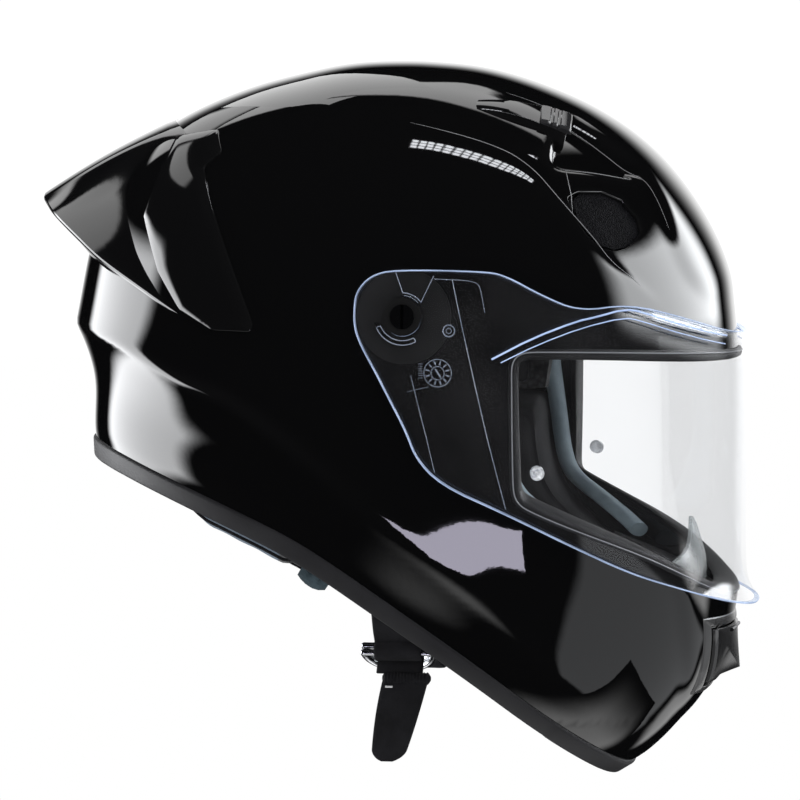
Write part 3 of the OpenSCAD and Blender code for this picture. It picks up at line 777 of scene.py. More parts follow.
def brushed_metal(name, colour, roughness):
    sh = new_shader(name)
    base = sh.principled(colour, roughness, Metallic=1.0)
    grain = sh.noise(sh.coords(stretch=(1.0, 1.0, 14.0)), scale=700.0)
    sh.link(sh.remap(grain, span=(0.25, 0.75), to=(roughness * 0.7, roughness * 1.5)),
            base, "Roughness")
    sh.bump(grain, base, strength=0.05, distance=0.0001)
    return sh.finish(base)


def cellular(name, colour, roughness, scale, middle, edge, strength, distance, specular=0.5):
    """Packed cells; middle and edge are (distance, colour) stops, the rest is the bump"""
    sh = new_shader(name)
    base = sh.principled(colour, roughness, Specular_IOR_Level=specular)
    cells = sh.add("TexVoronoi", {"Scale": scale})
    sh.link(sh.coords(), cells, "Vector")
    cell_distance = cells.outputs["Distance"]
    sh.link(sh.ramp(cell_distance, middle, edge), base, "Base Color")
    sh.bump(cell_distance, base, strength=strength, distance=distance)
    return sh.finish(base)


def clear_visor(name):
    """Clear pane with weak reflections and a trace of haze"""
    sh = new_shader(name)
    clear = sh.add("BsdfTransparent", {0: (0.988, 0.991, 0.995, 1)})
    gloss = sh.add("BsdfGlossy", {"Roughness": 0.03, 0: (1, 1, 1, 1)})
    fresnel = sh.add("Fresnel", {0: 1.5})
    patches = sh.noise(sh.coords(), scale=24.0, detail=4, roughness=0.6)
    sh.link(sh.remap(patches, span=(0.35, 0.75), to=(0.02, 0.055)), gloss, "Roughness")
    reflection = sh.math("MULTIPLY", fresnel, 0.13)
    pane = sh.mix(reflection, clear, gloss)
    haze = sh.add("BsdfDiffuse", {0: (0.62, 0.62, 0.66, 1)})
    haze_amount = sh.remap(patches, span=(0.35, 0.75), to=(0.003, 0.010))
    return sh.finish(sh.mix(haze_amount, pane, haze))


def part_clear(name, tint, colour, roughness, patch, solid, **values):
    """Clear plastic mixed with a solid one; patch is the noise scale, solid the mix's range"""
    sh = new_shader(name)
    clear = sh.add("BsdfTransparent", {0: (*tint, 1)})
    base = sh.principled(colour, roughness, **values)
    amount = sh.remap(sh.noise(sh.coords(), scale=patch), span=(0.3, 0.7), to=solid)
    return sh.finish(sh.mix(amount, clear, base))


# the blue-white colour and glow are a painted highlight on the visor's cut edges, bevels and
# moulded lines
def visor_edge(name, colour, glow, solid):
    return part_clear(name, tint=(0.75, 0.85, 1.0), colour=colour, roughness=0.12, patch=60.0,
                      solid=solid, Emission_Color=(0.55, 0.68, 1.0, 1), Emission_Strength=glow)


SHELL = gloss_black("shell_gloss_black", base=0.0022, roughness=0.022)
SPOILER = gloss_black("spoiler_gloss_black", base=0.003, roughness=0.045)
SATIN = satin("satin_black", (0.012, 0.012, 0.013), roughness=0.28, grain=0.08)
GLOSSY_PLASTIC = satin("glossy_black_plastic", (0.008, 0.008, 0.009), roughness=0.12)
TRIM = rubber("edge_trim_rubber", (0.011, 0.011, 0.013), roughness=0.55)
GASKET = rubber("gasket_rubber", (0.004, 0.004, 0.005), roughness=0.6)
# light grey: the panel-edge beads are a painted highlight
PANEL_EDGE_HIGHLIGHT = satin("panel_edge_painted_highlight", (0.11, 0.112, 0.118), roughness=0.2)
# light grey: the seal lip's bead is a painted highlight
GASKET_LIP_HIGHLIGHT = satin("gasket_lip_painted_highlight", (0.10, 0.105, 0.115), roughness=0.22)
# the strong edge lightening paints the highlights on the chin vent frame's rounded edges
VENT_FRAME = satin("vent_frame_black", (0.006, 0.006, 0.007), roughness=0.2, edge=0.22)
BEAK = satin("beak_black", (0.010, 0.010, 0.011), roughness=0.24, edge=0.05)
SUEDE = fabric("suede_blue_grey", (0.15, 0.20, 0.235), (0.27, 0.34, 0.38),
               sheen=0.9, fibre=1500.0, strength=0.6)
TAB = fabric("lining_tab_suede", (0.020, 0.030, 0.036), (0.05, 0.075, 0.09),
             sheen=0.3, fibre=1100.0, strength=0.8)
FLEECE = fabric("crown_fleece", (0.006, 0.006, 0.007), (0.018, 0.018, 0.02),
                sheen=0.16, fibre=1200.0, strength=0.8)
KNIT = fabric("neck_knit", (0.10, 0.13, 0.17), (0.17, 0.21, 0.26),
              sheen=0.6, fibre=1600.0, strength=0.6, weave=900.0)
MESH_FABRIC = fabric("mesh_fabric_grey", (0.07, 0.072, 0.076), (0.24, 0.245, 0.25),
                     sheen=0.3, fibre=900.0, strength=0.9, weave=1400.0)
FOAM = cellular("eps_foam", (0.03, 0.03, 0.032), roughness=0.85, scale=330.0,
                middle=(0.1, (0.045, 0.045, 0.048)), edge=(0.7, (0.012, 0.012, 0.013)),
                strength=0.5, distance=0.0008)
GRILLE = cellular("vent_grille", (0.0010, 0.0010, 0.0012), roughness=0.6, scale=1300.0,
                  middle=(0.25, (0.0, 0.0, 0.0)), edge=(0.5, (0.005, 0.005, 0.006)),
                  strength=0.8, distance=0.0006, specular=0.03)
BASE_PLATE = satin("base_plate_plastic", (0.0018, 0.0018, 0.002), roughness=0.5, grain=0.05,
                   edge=0.003, specular=0.14)
CLEAR = clear_visor("visor_clear")
# both edge materials glow: a painted highlight, strong on the cut edges and bevels, faint on the
# moulded lines
VISOR_EDGE = visor_edge("visor_cut_edge", (0.50, 0.62, 0.88), glow=0.10, solid=(0.45, 0.8))
SMOKE = part_clear("smoked_plastic", tint=(0.80, 0.83, 0.84), colour=(0.50, 0.53, 0.54),
                   roughness=0.2, patch=90.0, solid=(0.378, 0.483))
VISOR_LINE = visor_edge("visor_moulded_line", (0.42, 0.45, 0.50), glow=0.03, solid=(0.22, 0.5))
PIN = part_clear("insert_pin_clear", tint=(0.92, 0.93, 0.95), colour=(0.82, 0.84, 0.87),
                 roughness=0.12, patch=420.0, solid=(0.15, 0.85), Coat_Weight=1.0)
STEEL = brushed_metal("ring_steel", (0.62, 0.63, 0.65), roughness=0.2)
DARK_STEEL = brushed_metal("dark_screw_steel", (0.12, 0.12, 0.13), roughness=0.35)
WEBBING = fabric("strap_webbing", (0.005, 0.005, 0.006), (0.014, 0.014, 0.017),
                 sheen=0.16, fibre=1500.0, strength=0.8, weave=1100.0)
THREAD = fabric("stitch_thread", (0.35, 0.35, 0.36), (0.55, 0.55, 0.56),
                sheen=0.2, fibre=2600.0, strength=0.3)

# CAD pieces that aren't satin black
CAD_MATERIALS = {
    "crown_liner_eps": FOAM, "chin_bar_eps": FOAM,
    "pivot_hub_left": BASE_PLATE, "pivot_hub_right": BASE_PLATE,
    "visor_base_plate_left": BASE_PLATE, "visor_base_plate_right": BASE_PLATE,
    "pivot_screws": DARK_STEEL, "chin_vent_shutter_pin": DARK_STEEL,
    "brow_vent_mesh_left": GRILLE, "brow_vent_mesh_right": GRILLE, "chin_vent_mesh": GRILLE,
    "strap_rivets": STEEL, "strap_end_plates": STEEL, "d_rings": STEEL,
    "anti_fog_pin_left": PIN, "anti_fog_pin_right": PIN}
for piece, cad_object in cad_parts.items():
    cad_object.data.materials.clear()
    cad_object.data.materials.append(CAD_MATERIALS.get(piece, SATIN))


# ---------------------------------------------------------------- outer shell
def shell_field(par):
    points = surface(par[:, 0], par[:, 1])
    x, y, z = np.abs(points[:, 0]), points[:, 1], points[:, 2]
    chin_slot = np.maximum(x - 30, np.abs(z + 160) - 4.5)
    return np.minimum.reduce([
        rim_height(y, z) + 5.8,
        outline_distance(y, z, EYEPORT),
        np.hypot(y, z) - 22.0,                                          # pivot holes
        np.where(x > 20, outline_distance(y, z, BROW_HOLE), 50.0),
        np.where(y < 0, chin_slot, 50.0)])


skin("shell_skin", grid(*(((380, 156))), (-86.5, 86.5)), shell_field,
     styled_skin, lambda par: plain_skin(par, -SHELL_THICKNESS), [SHELL], "shell_black",
     replaces=("outer_shell",))


# ---------------------------------------------------------------- visor
def visor_extra(points):
    """Bottom front tab and the ridge along the top, as a height above the pane"""
    x, y, z = np.abs(points[..., 0]), points[..., 1], points[..., 2]
    inside = np.clip(-outline_distance(y, z, VISOR), 0, None)
    tab = 9.0 * np.exp(-inside / 5.0) * np.exp(-(x / 46.0) ** 4) * (z < -90)
    return tab + 0.35 * np.exp(-(line_distance(y, z, VISOR_RIDGE)[0] / 3.2) ** 2)


def visor_field(par):
    points = surface(par[:, 0], par[:, 1], -3.0)
    y, z = points[:, 1], points[:, 2]
    return np.minimum(-outline_distance(y, z, VISOR), np.hypot(y, z) - 8.66)


def visor_skin(par, height):
    return plain_skin(par, height + visor_extra(surface(par[:, 0], par[:, 1])))


# the grid runs right up to the pivots, where the ears need it fine
skin("visor_pane", grid(*(((360, 170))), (-89.2, 89.2)), visor_field,
     lambda par: visor_skin(par, VISOR_OUTER), lambda par: visor_skin(par, VISOR_INNER),
     [CLEAR, VISOR_EDGE], "visor_clear", body="visor", replaces=("visor_shield",))

SMOOTHING = np.array([1, 2, 3, 2, 1.0]) / 9


def visor_beads(name, lines, height, radius, material):
    """Thin round beads on both ears; lines are (side-view points, closed, relative width)"""
    shapes = []
    angle = around(6)
    for points, closed, width in lines:
        for side in (-1, 1):
            flat = np.array(points, float)
            is_long = len(flat) > 100
            if is_long:
                flat = resample(flat, 700)
            x = surface_x(flat[:, 0], flat[:, 1], -height)
            path = np.stack([side * x, flat[:, 0], flat[:, 1]], -1)
            if is_long:
                path = resample(path, 170)
                for _ in range(3):
                    path[2:-2] = sum(path[j:len(path) - 4 + j] * SMOOTHING[j] for j in range(5))
            profile = np.stack([width * 0.7 * np.cos(angle), width * np.sin(angle)], -1) * radius
            shapes.append(sweep(path, outward(path, -height), profile, closed))
    build(name, join(shapes), [material], "visor_clear", body="visor", crease=80)


def arc(radius, start, end, count, centre=(0, 0)):
    return [[centre[0] + radius * math.cos(a), centre[1] + radius * math.sin(a)]
            for a in np.radians(np.linspace(start, end, count))]


def circle_line(centre, radius, count, width):
    return arc(radius, 0, 360, count + 1, centre)[:-1], True, width


def straight(points, count, width):
    return resample(points, count), False, width


BOSS = (-21, -6.2)
DIAL = (-15.8, -25.2)
LOWER_SLOT = arc(12.7, -119, -22, 26) + arc(10.7, -22, -119, 26)
EAR_LINES = [
    (resample(chaikin(LOWER_SLOT, 1, True), 90, True), True, 1.0),
    # sector notch above the hub
    straight([[3.1, 20.2], [-0.4, 10.6]], 14, 0.8),
    straight([[-14.2, 18.4], [-8.5, 6.4]], 14, 0.8),
    (arc(10.8, 92, 142, 16), False, 1.0),
    (arc(9.6, 95, 140, 16), False, 0.6),
    # creases
    straight([[-22.5, 16.6], [-37.7, -55.7], [-44.8, -87.0]], 50, 0.85),
    straight([[-3.6, -26.5], [-10.3, -55.7], [-13.2, -70.2]], 40, 0.7),
    straight(chaikin([[-14.4, 17], [-33, 16.2], [-35.2, 12.5], [-37, 2]], 2), 30, 0.55),
    straight([[-1.8, -33.7], [-11.7, -31.4]], 8, 0.4)]
# ladder of seven short marks
for i in range(7):
    z = -21.1 - i * 1.05
    EAR_LINES.append(straight([[-7.0, z], [-9.0, z]], 3, 0.45))
EAR_LINES += [circle_line(BOSS, 2.6, 24, 1.3), circle_line(BOSS, 1.2, 16, 0.8),
              circle_line(DIAL, 6.2, 48, 0.75), circle_line(DIAL, 3.0, 32, 0.7)]
# the dial's twelve spokes and its slot
for i in range(12):
    spoke = 15 + 30 * i
    ends = [arc(radius, spoke, spoke, 1, DIAL)[0] for radius in (3.7, 5.5)]
    EAR_LINES.append(straight(ends, 4, 1.25))
EAR_LINES.append(straight([[DIAL[0] - 1.3, DIAL[1] - 1.8], [DIAL[0] + 1.1, DIAL[1] + 1.9]],
                          6, 1.5))
visor_beads("visor_moulded_lines", EAR_LINES, height=4.25, radius=0.26, material=VISOR_LINE)


def on_pane(points):
    """The part of a line that lies just inside the body's side view"""
    points = resample(chaikin(points, 1), 110)
    y, z = points[:, 0], points[:, 1]
    return points[np.hypot(y, z) < side_radius(side_phi(y, z)) * 0.9975]


TOP_BEVELS = [
    (on_pane([[-40, -19], [-58, -9.5], [-77, -2.0], [-84, -0.5], [-97, 3.2], [-104, 2.0],
              [-122, -5.0], [-150, -14]]), False, 1.5),
    (on_pane([[-44, -20.5], [-60, -12.5], [-79, -5.0], [-97, -0.5], [-104, -2.2],
              [-122, -9.0], [-150, -18]]), False, 0.9)]
# the bevel beads glow blue-white: a painted highlight along the bevels
visor_beads("visor_bevel_lines", TOP_BEVELS, height=4.7, radius=0.33, material=VISOR_EDGE)

# ---------------------------------------------------------------- rear spoiler
# front edge of the left half: x, phi
SPOILER_FRONT = [
    [0, 144.7], [25, 144.2], [50, 143.6], [66, 143.7], [79, 147.4], [92, 151.5], [104, 160],
    [112, 172], [116.5, 184]]
# trailing edge of the left half: x, y, z
SPOILER_REAR = [
    [0, 196.5, 56.5], [9, 196.2, 56.2], [18, 194.4, 54.6], [42, 183.4, 46.6],
    [64, 167.0, 35.6], [80, 151, 24.6], [94, 130, 12.2], [104, 111, 1.0], [110, 95, -7.5]]
SPOILER_STEPS = 10
EDGE_RADIUS = 1.2           # rounding of the trailing edge


def two_part_curve(points):
    """Curve with a break in its run at the third point"""
    return np.concatenate([catmull(points[:3], SPOILER_STEPS),
                           catmull(points[2:], SPOILER_STEPS)[1:]])


def spoiler_section(along, front_place, rear):
    """Ring round the spoiler: top, trailing edge, then the underside back to the shell"""
    front = surface_at_x(*front_place, -1.5)
    root = surface_at_x(*front_place, 3.0)
    rear_phi = math.degrees(math.atan2(rear[2], -rear[1])) % 360
    under = surface_at_x(min(rear[0] * 0.985, 113.5), rear_phi + 6.5, 3.5)
    side = rise(along, 0.22, 0.2)                   # 0 on the wing, 1 on the side fins
    normal = outward(front)
    width = np.linalg.norm(rear - front)
    back = (rear - front) / width
    ring = [root + back * 0.9, front + back * 0.25 - normal * 0.5]
    for v in np.linspace(0.0, 1.0, 16)[1:-1]:
        hollow = 3.4 * side * math.sin(math.pi * v ** 0.8) * min(1, width / 50)
        bulge = 1.6 * math.sin(math.pi * v) * (1 - side) - hollow
        ring.append(front + (rear - front) * v + normal * bulge)
    down = (np.array([0.0, -0.35, -0.94]) * (1 - side)
            + np.array([-0.62, -0.35, -0.70]) * side)
    down /= np.linalg.norm(down)
    edge_height = 3.2 * min(1, width / 40) + 0.6
    for a in np.linspace(0, math.pi, 6):
        ring.append(rear - back * EDGE_RADIUS + down * edge_height * 0.5 * (1 - math.cos(a))
                    + back * EDGE_RADIUS * math.sin(a))
    lower = rear + down * edge_height - back * EDGE_RADIUS
    for v in np.linspace(0, 1, 8)[1:]:
        ring.append(lower + (under - lower) * v - normal * 2.0 * math.sin(math.pi * v))
    return ring


front_edge, rear_edge = two_part_curve(SPOILER_FRONT), two_part_curve(SPOILER_REAR)
left_half = np.array([spoiler_section(i / (len(front_edge) - 1), place, rear)
                      for i, (place, rear) in enumerate(zip(front_edge, rear_edge))])
right_half = left_half[::-1] * [-1, 1, 1]
build("rear_spoiler_skin", loft(np.concatenate([right_half[:-1], left_half])), [SPOILER],
      "shell_black", replaces=("rear_spoiler",), crease=13)


# the spoiler's side fins run down and forward over the shell as a low raised panel
def fin_field(par):
    points = surface(par[:, 0], par[:, 1])
    inside = -outline_distance(points[:, 1], points[:, 2], FIN_FOOT)
    return np.minimum(inside, np.abs(points[:, 0]) - 20)


def fin_top(par):
    points = surface(par[:, 0], par[:, 1])
    inside = np.clip(-outline_distance(points[:, 1], points[:, 2], FIN_FOOT), 0, None)
    height = 1.9 - 0.9 * np.exp(-inside / 2.2)
    return styled_skin(par) + outward(points) * height[:, None]


for side_name, t_span in (("right", (-86, -12)), ("left", (12, 86))):
    skin("rear_spoiler_fin_" + side_name, grid(110, 120, t_span, (110, 200)), fin_field,
         fin_top, lambda par: styled_skin(par, 0.25), [SPOILER], "shell_black", crease=30)

# ---------------------------------------------------------------- painted highlights along the panels' edges
EDGE_LINE_RADIUS = 0.20


def edge_highlight_lines(name, lines):
    """Painted highlights as fine beads on the styled shell, thinning to their ends, on both sides
    """
    shapes = []
    for line in lines:
        for side in (-1, 1):
            flat = resample(line, 160)
            path = np.stack([side * surface_x(flat[:, 0], flat[:, 1]), flat[:, 0], flat[:, 1]], -1)
            path = resample(path + outward(path) * (styled_height(path) + 0.08)[:, None], 110)
            normals = outward(path)
            ahead = np.gradient(path, axis=0)
            ahead /= np.linalg.norm(ahead, axis=1, keepdims=True)
            fade = np.sin(math.pi * np.linspace(0, 1, len(path))) ** 0.4
            radius = EDGE_LINE_RADIUS * np.maximum(fade, 0.1)
            shapes.append(loft([
                ellipse(point, normal, across, 0.7 * r, r, 6)
                for point, normal, across, r
                in zip(path, normals, np.cross(ahead, normals), radius)]))
    build(name, join(shapes), [PANEL_EDGE_HIGHLIGHT], "shell_black", crease=80)


def between(line, front, rear):
    return line[(line[:, 0] > front) & (line[:, 0] < rear)]


edge_highlight_lines("shell_panel_edge_highlights", [between(BAND[::-1], -113, -34), between(CHANNEL[::-1], -104, 4)])
edge_highlight_lines("shell_scoop_edge_highlight", [[[-68.5, 66.8], [-72, 55], [-73, 47]],
                                [[-66, 67.2], [-80, 66], [-96, 63]]])


# ---------------------------------------------------------------- trim and gasket
def surface_loop(line, closed, count):
    """Closed loop over both sides of the body from a side-view line, and its normals.

    It starts on the middle plane and runs over the right side first."""
    line = resample(line, 4000, closed)
    y, z = line[:, 0], line[:, 1]
    inside = np.hypot(y, z) < side_radius(side_phi(y, z)) * 0.99995
    start = np.where(inside & ~np.roll(inside, 1))[0][0]
    line, inside = np.roll(line, -start, 0), np.roll(inside, -start)
    line = line[:np.where(~inside)[0][0]]
    right = np.stack([-surface_x(line[:, 0], line[:, 1]), line[:, 0], line[:, 1]], -1)
    right[0, 0] = right[-1, 0] = 0
    left = right[::-1][1:-1] * [-1, 1, 1]
    loop = resample(np.concatenate([right, left]), count, True)
    for _ in range(2):
        loop = sum(np.roll(loop, j - 2, 0) * SMOOTHING[j] for j in range(5))
    # back onto the surface
    normals = outward(loop)
    for _ in range(3):
        slope = (level(loop + normals * NUDGE) - level(loop - normals * NUDGE)) / (2 * NUDGE)
        loop = loop - normals * (level(loop) / slope)[:, None]
    return loop, outward(loop)


def side_vectors(path, normals):
    across = np.cross(np.roll(path, -1, 0) - np.roll(path, 1, 0), normals)
    return across / np.linalg.norm(across, axis=1, keepdims=True)


def trim_profile():
    """Rounded rectangle of (out, down) with a slightly bulging outer face"""
    inner, outer, top, bottom, radius, bulge = -6.3, 1.0, 0.35, 10.6, 1.5, 0.35
    points = []
    for out, down, start in ((outer - radius, bottom - radius, 0),
                             (inner + radius, bottom - radius, 90),
                             (inner + radius, top + radius, 180),
                             (outer - radius, top + radius, 270)):
        for i in range(5):
            a = math.radians(start + 90 * i / 4)
            points.append([out + radius * math.cos(a), down + radius * math.sin(a)])
    points = np.array(points)
    place = np.clip((points[:, 1] - top) / (bottom - top), 0, 1)
    points[:, 0] += bulge * np.sin(math.pi * place) * (points[:, 0] > (inner + outer) / 2)
    return points


LOOP_COUNT = 380

path, normals = surface_loop(RIM, False, LOOP_COUNT)
downward = -1.0 if side_vectors(path, normals)[:, 2].mean() > 0 else 1.0
build("trim_band", sweep(path, normals, trim_profile() * [1, downward]), [TRIM], "trim_rubber",
      replaces=("bottom_edge_trim",), crease=50)

# section of the gasket: out from the surface, towards the middle of the eyeport
GASKET_PROFILE = np.array([
    [1.5, -1.6], [1.9, -0.6], [1.9, 0.8], [1.3, 2.2], [0.0, 2.9], [-2.0, 3.4], [-5.0, 3.6],
    [-8.0, 3.7], [-10.0, 3.4], [-10.6, 2.8], [-9.6, 2.4], [-7.0, 1.6], [-4.8, 0.6],
    [-4.8, -1.6], [-0.2, -1.6], [-0.2, 0.2], [0.3, 0.2], [0.3, -1.6]])
EYEPORT_CENTRE = np.array([0, -110, -66.0])
LIP_RADIUS = 0.34

path, normals = surface_loop(EYEPORT, True, LOOP_COUNT)
to_centre = ((EYEPORT_CENTRE - path) * side_vectors(path, normals)).sum(1).mean()
inward = 1.0 if to_centre > 0 else -1.0
build("eyeport_seal", sweep(path, normals, GASKET_PROFILE * [1, inward]), [GASKET],
      "gasket_rubber", replaces=("eyeport_gasket",), crease=50)
# a light-grey bead on the seal's lip paints the highlight where the rubber lip catches the light
lip = np.stack([2.0 + LIP_RADIUS * np.cos(around(8)),
                (-0.2 + LIP_RADIUS * np.sin(around(8))) * inward], -1)
build("eyeport_seal_lip_highlight", sweep(path, normals, lip), [GASKET_LIP_HIGHLIGHT], "gasket_rubber", crease=80)

# ---------------------------------------------------------------- cheek pads
SIDES = ((-1, "right"), (1, "left"))


def cheek_edge_roll(side, side_name):
    """Soft roll along the rear of the eyeport"""
    flat = resample(CHEEK_ROLL, 90)
    x = surface_x(flat[:, 0], flat[:, 1], 17.5)
    path = np.stack([side * x, flat[:, 0], flat[:, 1]], -1)
    angle = around(20)
    profile = np.stack([7.0 * signed_power(np.cos(angle), 0.8),
                        3.7 * signed_power(np.sin(angle), 0.9)], -1)
    build("cheek_edge_roll_" + side_name, sweep(path, outward(path, 17.5), profile, False),
          [SUEDE], "pad_suede", crease=70)


CHEEK_CENTRE = np.array([-12.0, -92.0])
CHEEK_INNER_X = 68.0
CHEEK_RINGS = [0.0, 0.15, 0.3, 0.45, 0.58, 0.68, 0.74, 0.78, 0.82, 0.86, 0.91, 0.95, 0.98, 1.0]


def cheek_pad(side, side_name):
    """Puffed pad with a sunk seam; rings grow over its inner face and shrink over its back"""
    outline = resample(CHEEK, 96, True)
    face, back = [], []
    for r in CHEEK_RINGS:
        y, z = (CHEEK_CENTRE + (outline - CHEEK_CENTRE) * max(r, 1e-3)).T
        x = surface_x(y, z, 13.2)
        puff = (1 - r ** 7) ** 0.42
        seam = 2.4 * math.exp(-((r - 0.76) / 0.035) ** 2)
        lumps = 1.6 * np.sin(y * 0.11) * np.sin(z * 0.10) * (1 - r)
        inner = x - (x - CHEEK_INNER_X) * puff + seam + lumps
        face.append(np.stack([side * inner, y, z], -1))
        back.append(np.stack([side * x, y, z], -1))
    shape = loft(face + back[::-1])
    build("cheek_pad_cover_" + side_name, shape, [FLEECE, SUEDE], "pad_suede",
          replaces=("cheek_pad_" + side_name,), face_materials=[0] * len(shape[1]), crease=70)


for side, side_name in SIDES:
    cheek_edge_roll(side, side_name)
for side, side_name in SIDES:
    cheek_pad(side, side_name)

# ---------------------------------------------------------------- crown pad
CROWN_BACK = 37.2           # depth of the pad's outer face below the body surface


def crown_field_at(points):
    return line_distance(points[:, 1], points[:, 2], CROWN_EDGE)[0]


def crown_field(par):
    return crown_field_at(surface(par[:, 0], par[:, 1], 37))


def crown_face(par):
    """Lumpy inner face, thinner along the pad's edge"""
    points = surface(par[:, 0], par[:, 1])
    lumps = 1.3 * np.sin(points[:, 0] * 0.16) * np.sin(points[:, 1] * 0.13)
    thinning = 5.5 * np.exp(-np.clip(crown_field(par), 0, None) / 4.0)
    return plain_skin(par, -(45.0 - thinning + lumps))


skin("crown_pad_cover", grid(150, 70, (-88.5, 88.5)), crown_field, crown_face,
     lambda par: plain_skin(par, -CROWN_BACK), [FLEECE], "pad_fabric", replaces=("crown_pad",),
     crease=60)

# ---------------------------------------------------------------- neck roll and skirts
rim_path, rim_normals = surface_loop(RIM, False, 600)
rim_down = side_vectors(rim_path, rim_normals)
if rim_down[:, 2].mean() > 0:
    rim_down = -rim_down


def neck_roll():
    """Soft bulge inside the rear of the bottom edge, with black piping"""
    chosen = np.where(rim_path[:, 1] > 42)[0]
    # from the left side round the back to the right side
    chosen = np.concatenate([chosen[chosen > 300], chosen[chosen <= 300]])
    points, normals, down = rim_path[chosen], rim_normals[chosen], rim_down[chosen]
    y = points[:, 1]
    poke = 10.0 * rise(-y, -126, 30.0) * rise(y, 42, 16.0) + 2.0
    pucker = 0.5 * np.sin(np.arange(len(points)) * 0.45)
    centre = points - normals * 14.0 + down * (poke * 0.62 + 1.0)[:, None]
    height = 9.0 + poke * 0.38 + pucker * 0.4
    picks = range(0, len(points), 2)
    sides = 22
    rings = [ellipse(centre[i], normals[i], down[i], 8.5, height[i], sides) for i in picks]
    face_materials = []
    for ring in rings[:-1]:
        face_materials += [0 if ring[:, 1].mean() > 62 else 1] * sides
    build("neck_roll_cover", loft(rings), [KNIT, MESH_FABRIC], "pad_suede",
          replaces=("neck_roll",), face_materials=face_materials + [1, 1], crease=70)
    piping = centre + normals * 6.9 + down * (5.2 + poke * 0.25)[:, None]
    build("neck_roll_piping",
          loft([ellipse(piping[i], normals[i], down[i], 0.9, 0.9, 10) for i in picks]),
          [WEBBING], "pad_suede", crease=70)


def neck_skirt(side, side_name):
    """Mesh skirt running forward from the neck roll, its piping and a small tab"""
    y = rim_path[:, 1]
    chosen = np.where((y > 29.0) & (y < 88) & (rim_path[:, 0] * side > 0))[0]
    chosen = chosen[np.argsort(y[chosen])][::2]
    points, normals, down = rim_path[chosen], rim_normals[chosen], rim_down[chosen]
    y = points[:, 1]
    depth = 11.0 + 6.0 * rise(y, 24, 14.0) * rise(-y, -87, 20.0) + 0.2 * np.sin(y * 0.5)

    def section(i, offsets):
        return [points[i] + normals[i] * out + down[i] * below for out, below in offsets]

    skirt, piping, tab = [], [], []
    for i, d in enumerate(depth):
        skirt.append(section(i, [
            (-7.2, 3.0), (-7.4, d * 0.5), (-8.2, d * 0.8), (-9.4, d), (-10.4, d - 0.2),
            (-9.8, d * 0.75), (-9.0, d * 0.45), (-8.8, 3.0)]))
        centre = section(i, [(-9.9, d + 0.4)])[0]
        piping.append(ellipse(centre, normals[i], down[i], 0.85, 0.85, 9))
    for j, tab_y in enumerate(np.linspace(34.5, 46.5, 9)):
        i = int(np.argmin(np.abs(y - tab_y)))
        d = depth[i]
        end = d + 6.2 - 1.6 * (abs(j - 4) / 4.0) ** 4
        tab.append(section(i, [
            (-8.9, d - 3), (-8.5, d + 2), (-8.9, end - 0.5), (-9.7, end), (-10.5, end - 0.5),
            (-10.7, d + 2), (-10.6, d - 3)]))
    for part, rings, material, crease in (("mesh", skirt, MESH_FABRIC, 60),
                                          ("piping", piping, WEBBING, 70), ("tab", tab, TAB, 60)):
        build(f"neck_skirt_{part}_{side_name}", loft(rings), [material], "pad_suede",
              crease=crease)


neck_roll()
for side, side_name in SIDES:
    neck_skirt(side, side_name)


# ---------------------------------------------------------------- breath guard
def guard_field(par):
    points = surface(par[:, 0], par[:, 1], 14)
    inside = -outline_distance(points[:, 0], points[:, 2], GUARD)
    return np.minimum(inside, -(points[:, 1] + 55))


def guard_skin(par, depth):
    """Sheet that leans further in towards its top"""
    lean = 7.5 * rise(surface(par[:, 0], par[:, 1])[:, 2], -124, 36.0)
    return plain_skin(par, -(14.0 + lean + depth))


skin("breath_guard_sheet", grid(90, 90, (-50, 50), (-60, -20)), guard_field,
     lambda par: guard_skin(par, 0.0), lambda par: guard_skin(par, 1.6), [SMOKE],
     "smoke_plastic", replaces=("breath_guard",))


# ---------------------------------------------------------------- top vents
def rotation(axis, degrees):
    return np.array(Matrix.Rotation(math.radians(degrees), 3, axis))


# place of the left vent; the right one is its mirror image
VENT_TURN = rotation("Y", 30) @ rotation("X", 19) @ rotation("Z", -4)
VENT_PLACE = np.array([69, -41.7, 92.8])
HOUSING_FRONT, HOUSING_REAR = -25.5, 44
THUMB_HALF_WIDTH = 7.6
# the slider's ribbed top: y, height
THUMB_STATIONS = [
    (-27.4, 1.6), (-27.2, 2.6), (-26.4, 3.3), (-24.5, 3.7), (-22.0, 3.9), (-21.5, 3.5),
    (-20.7, 3.5), (-20.2, 4.0), (-18.5, 4.1), (-18.0, 3.7), (-17.2, 3.7), (-16.7, 4.2),
    (-14.5, 4.2), (-12.5, 4.0)]


def arch(y, half):
    """Symmetrical section from (half width, z) pairs that go up the side"""
    return [[-x, y, z] for x, z in half] + [[x, y, z] for x, z in half[::-1]]


def vent_piece(name, sections, mirror, material, slot, **options):
    verts, faces = loft(sections)
    verts = (verts @ VENT_TURN.T + VENT_PLACE) * [mirror, 1, 1]
    obj = build(name, (verts, faces), [material], slot, crease=38, **options)
    bevel(obj, width=0.0006, limit=38)


def housing_section(y):
    t = (y - HOUSING_FRONT) / (HOUSING_REAR - HOUSING_FRONT)
    width = 11.6 * (1 - t ** 1.2) + 0.6
    top = width * 0.72
    drop = 0.0068 * (y + 2) ** 2
    height = 3.4 * (1 - t) ** 0.85 + 0.2
    return arch(y, [(width, -4 - drop), (width, 0.2 - drop), (top, height - drop),
                    (top * 0.4, height + 0.5 * (1 - t) - drop)])


def thumb_section(y, height):
    width = THUMB_HALF_WIDTH
    return arch(y, [(width, 0.2), (width, height - 1.2), (width - 1.2, height)])


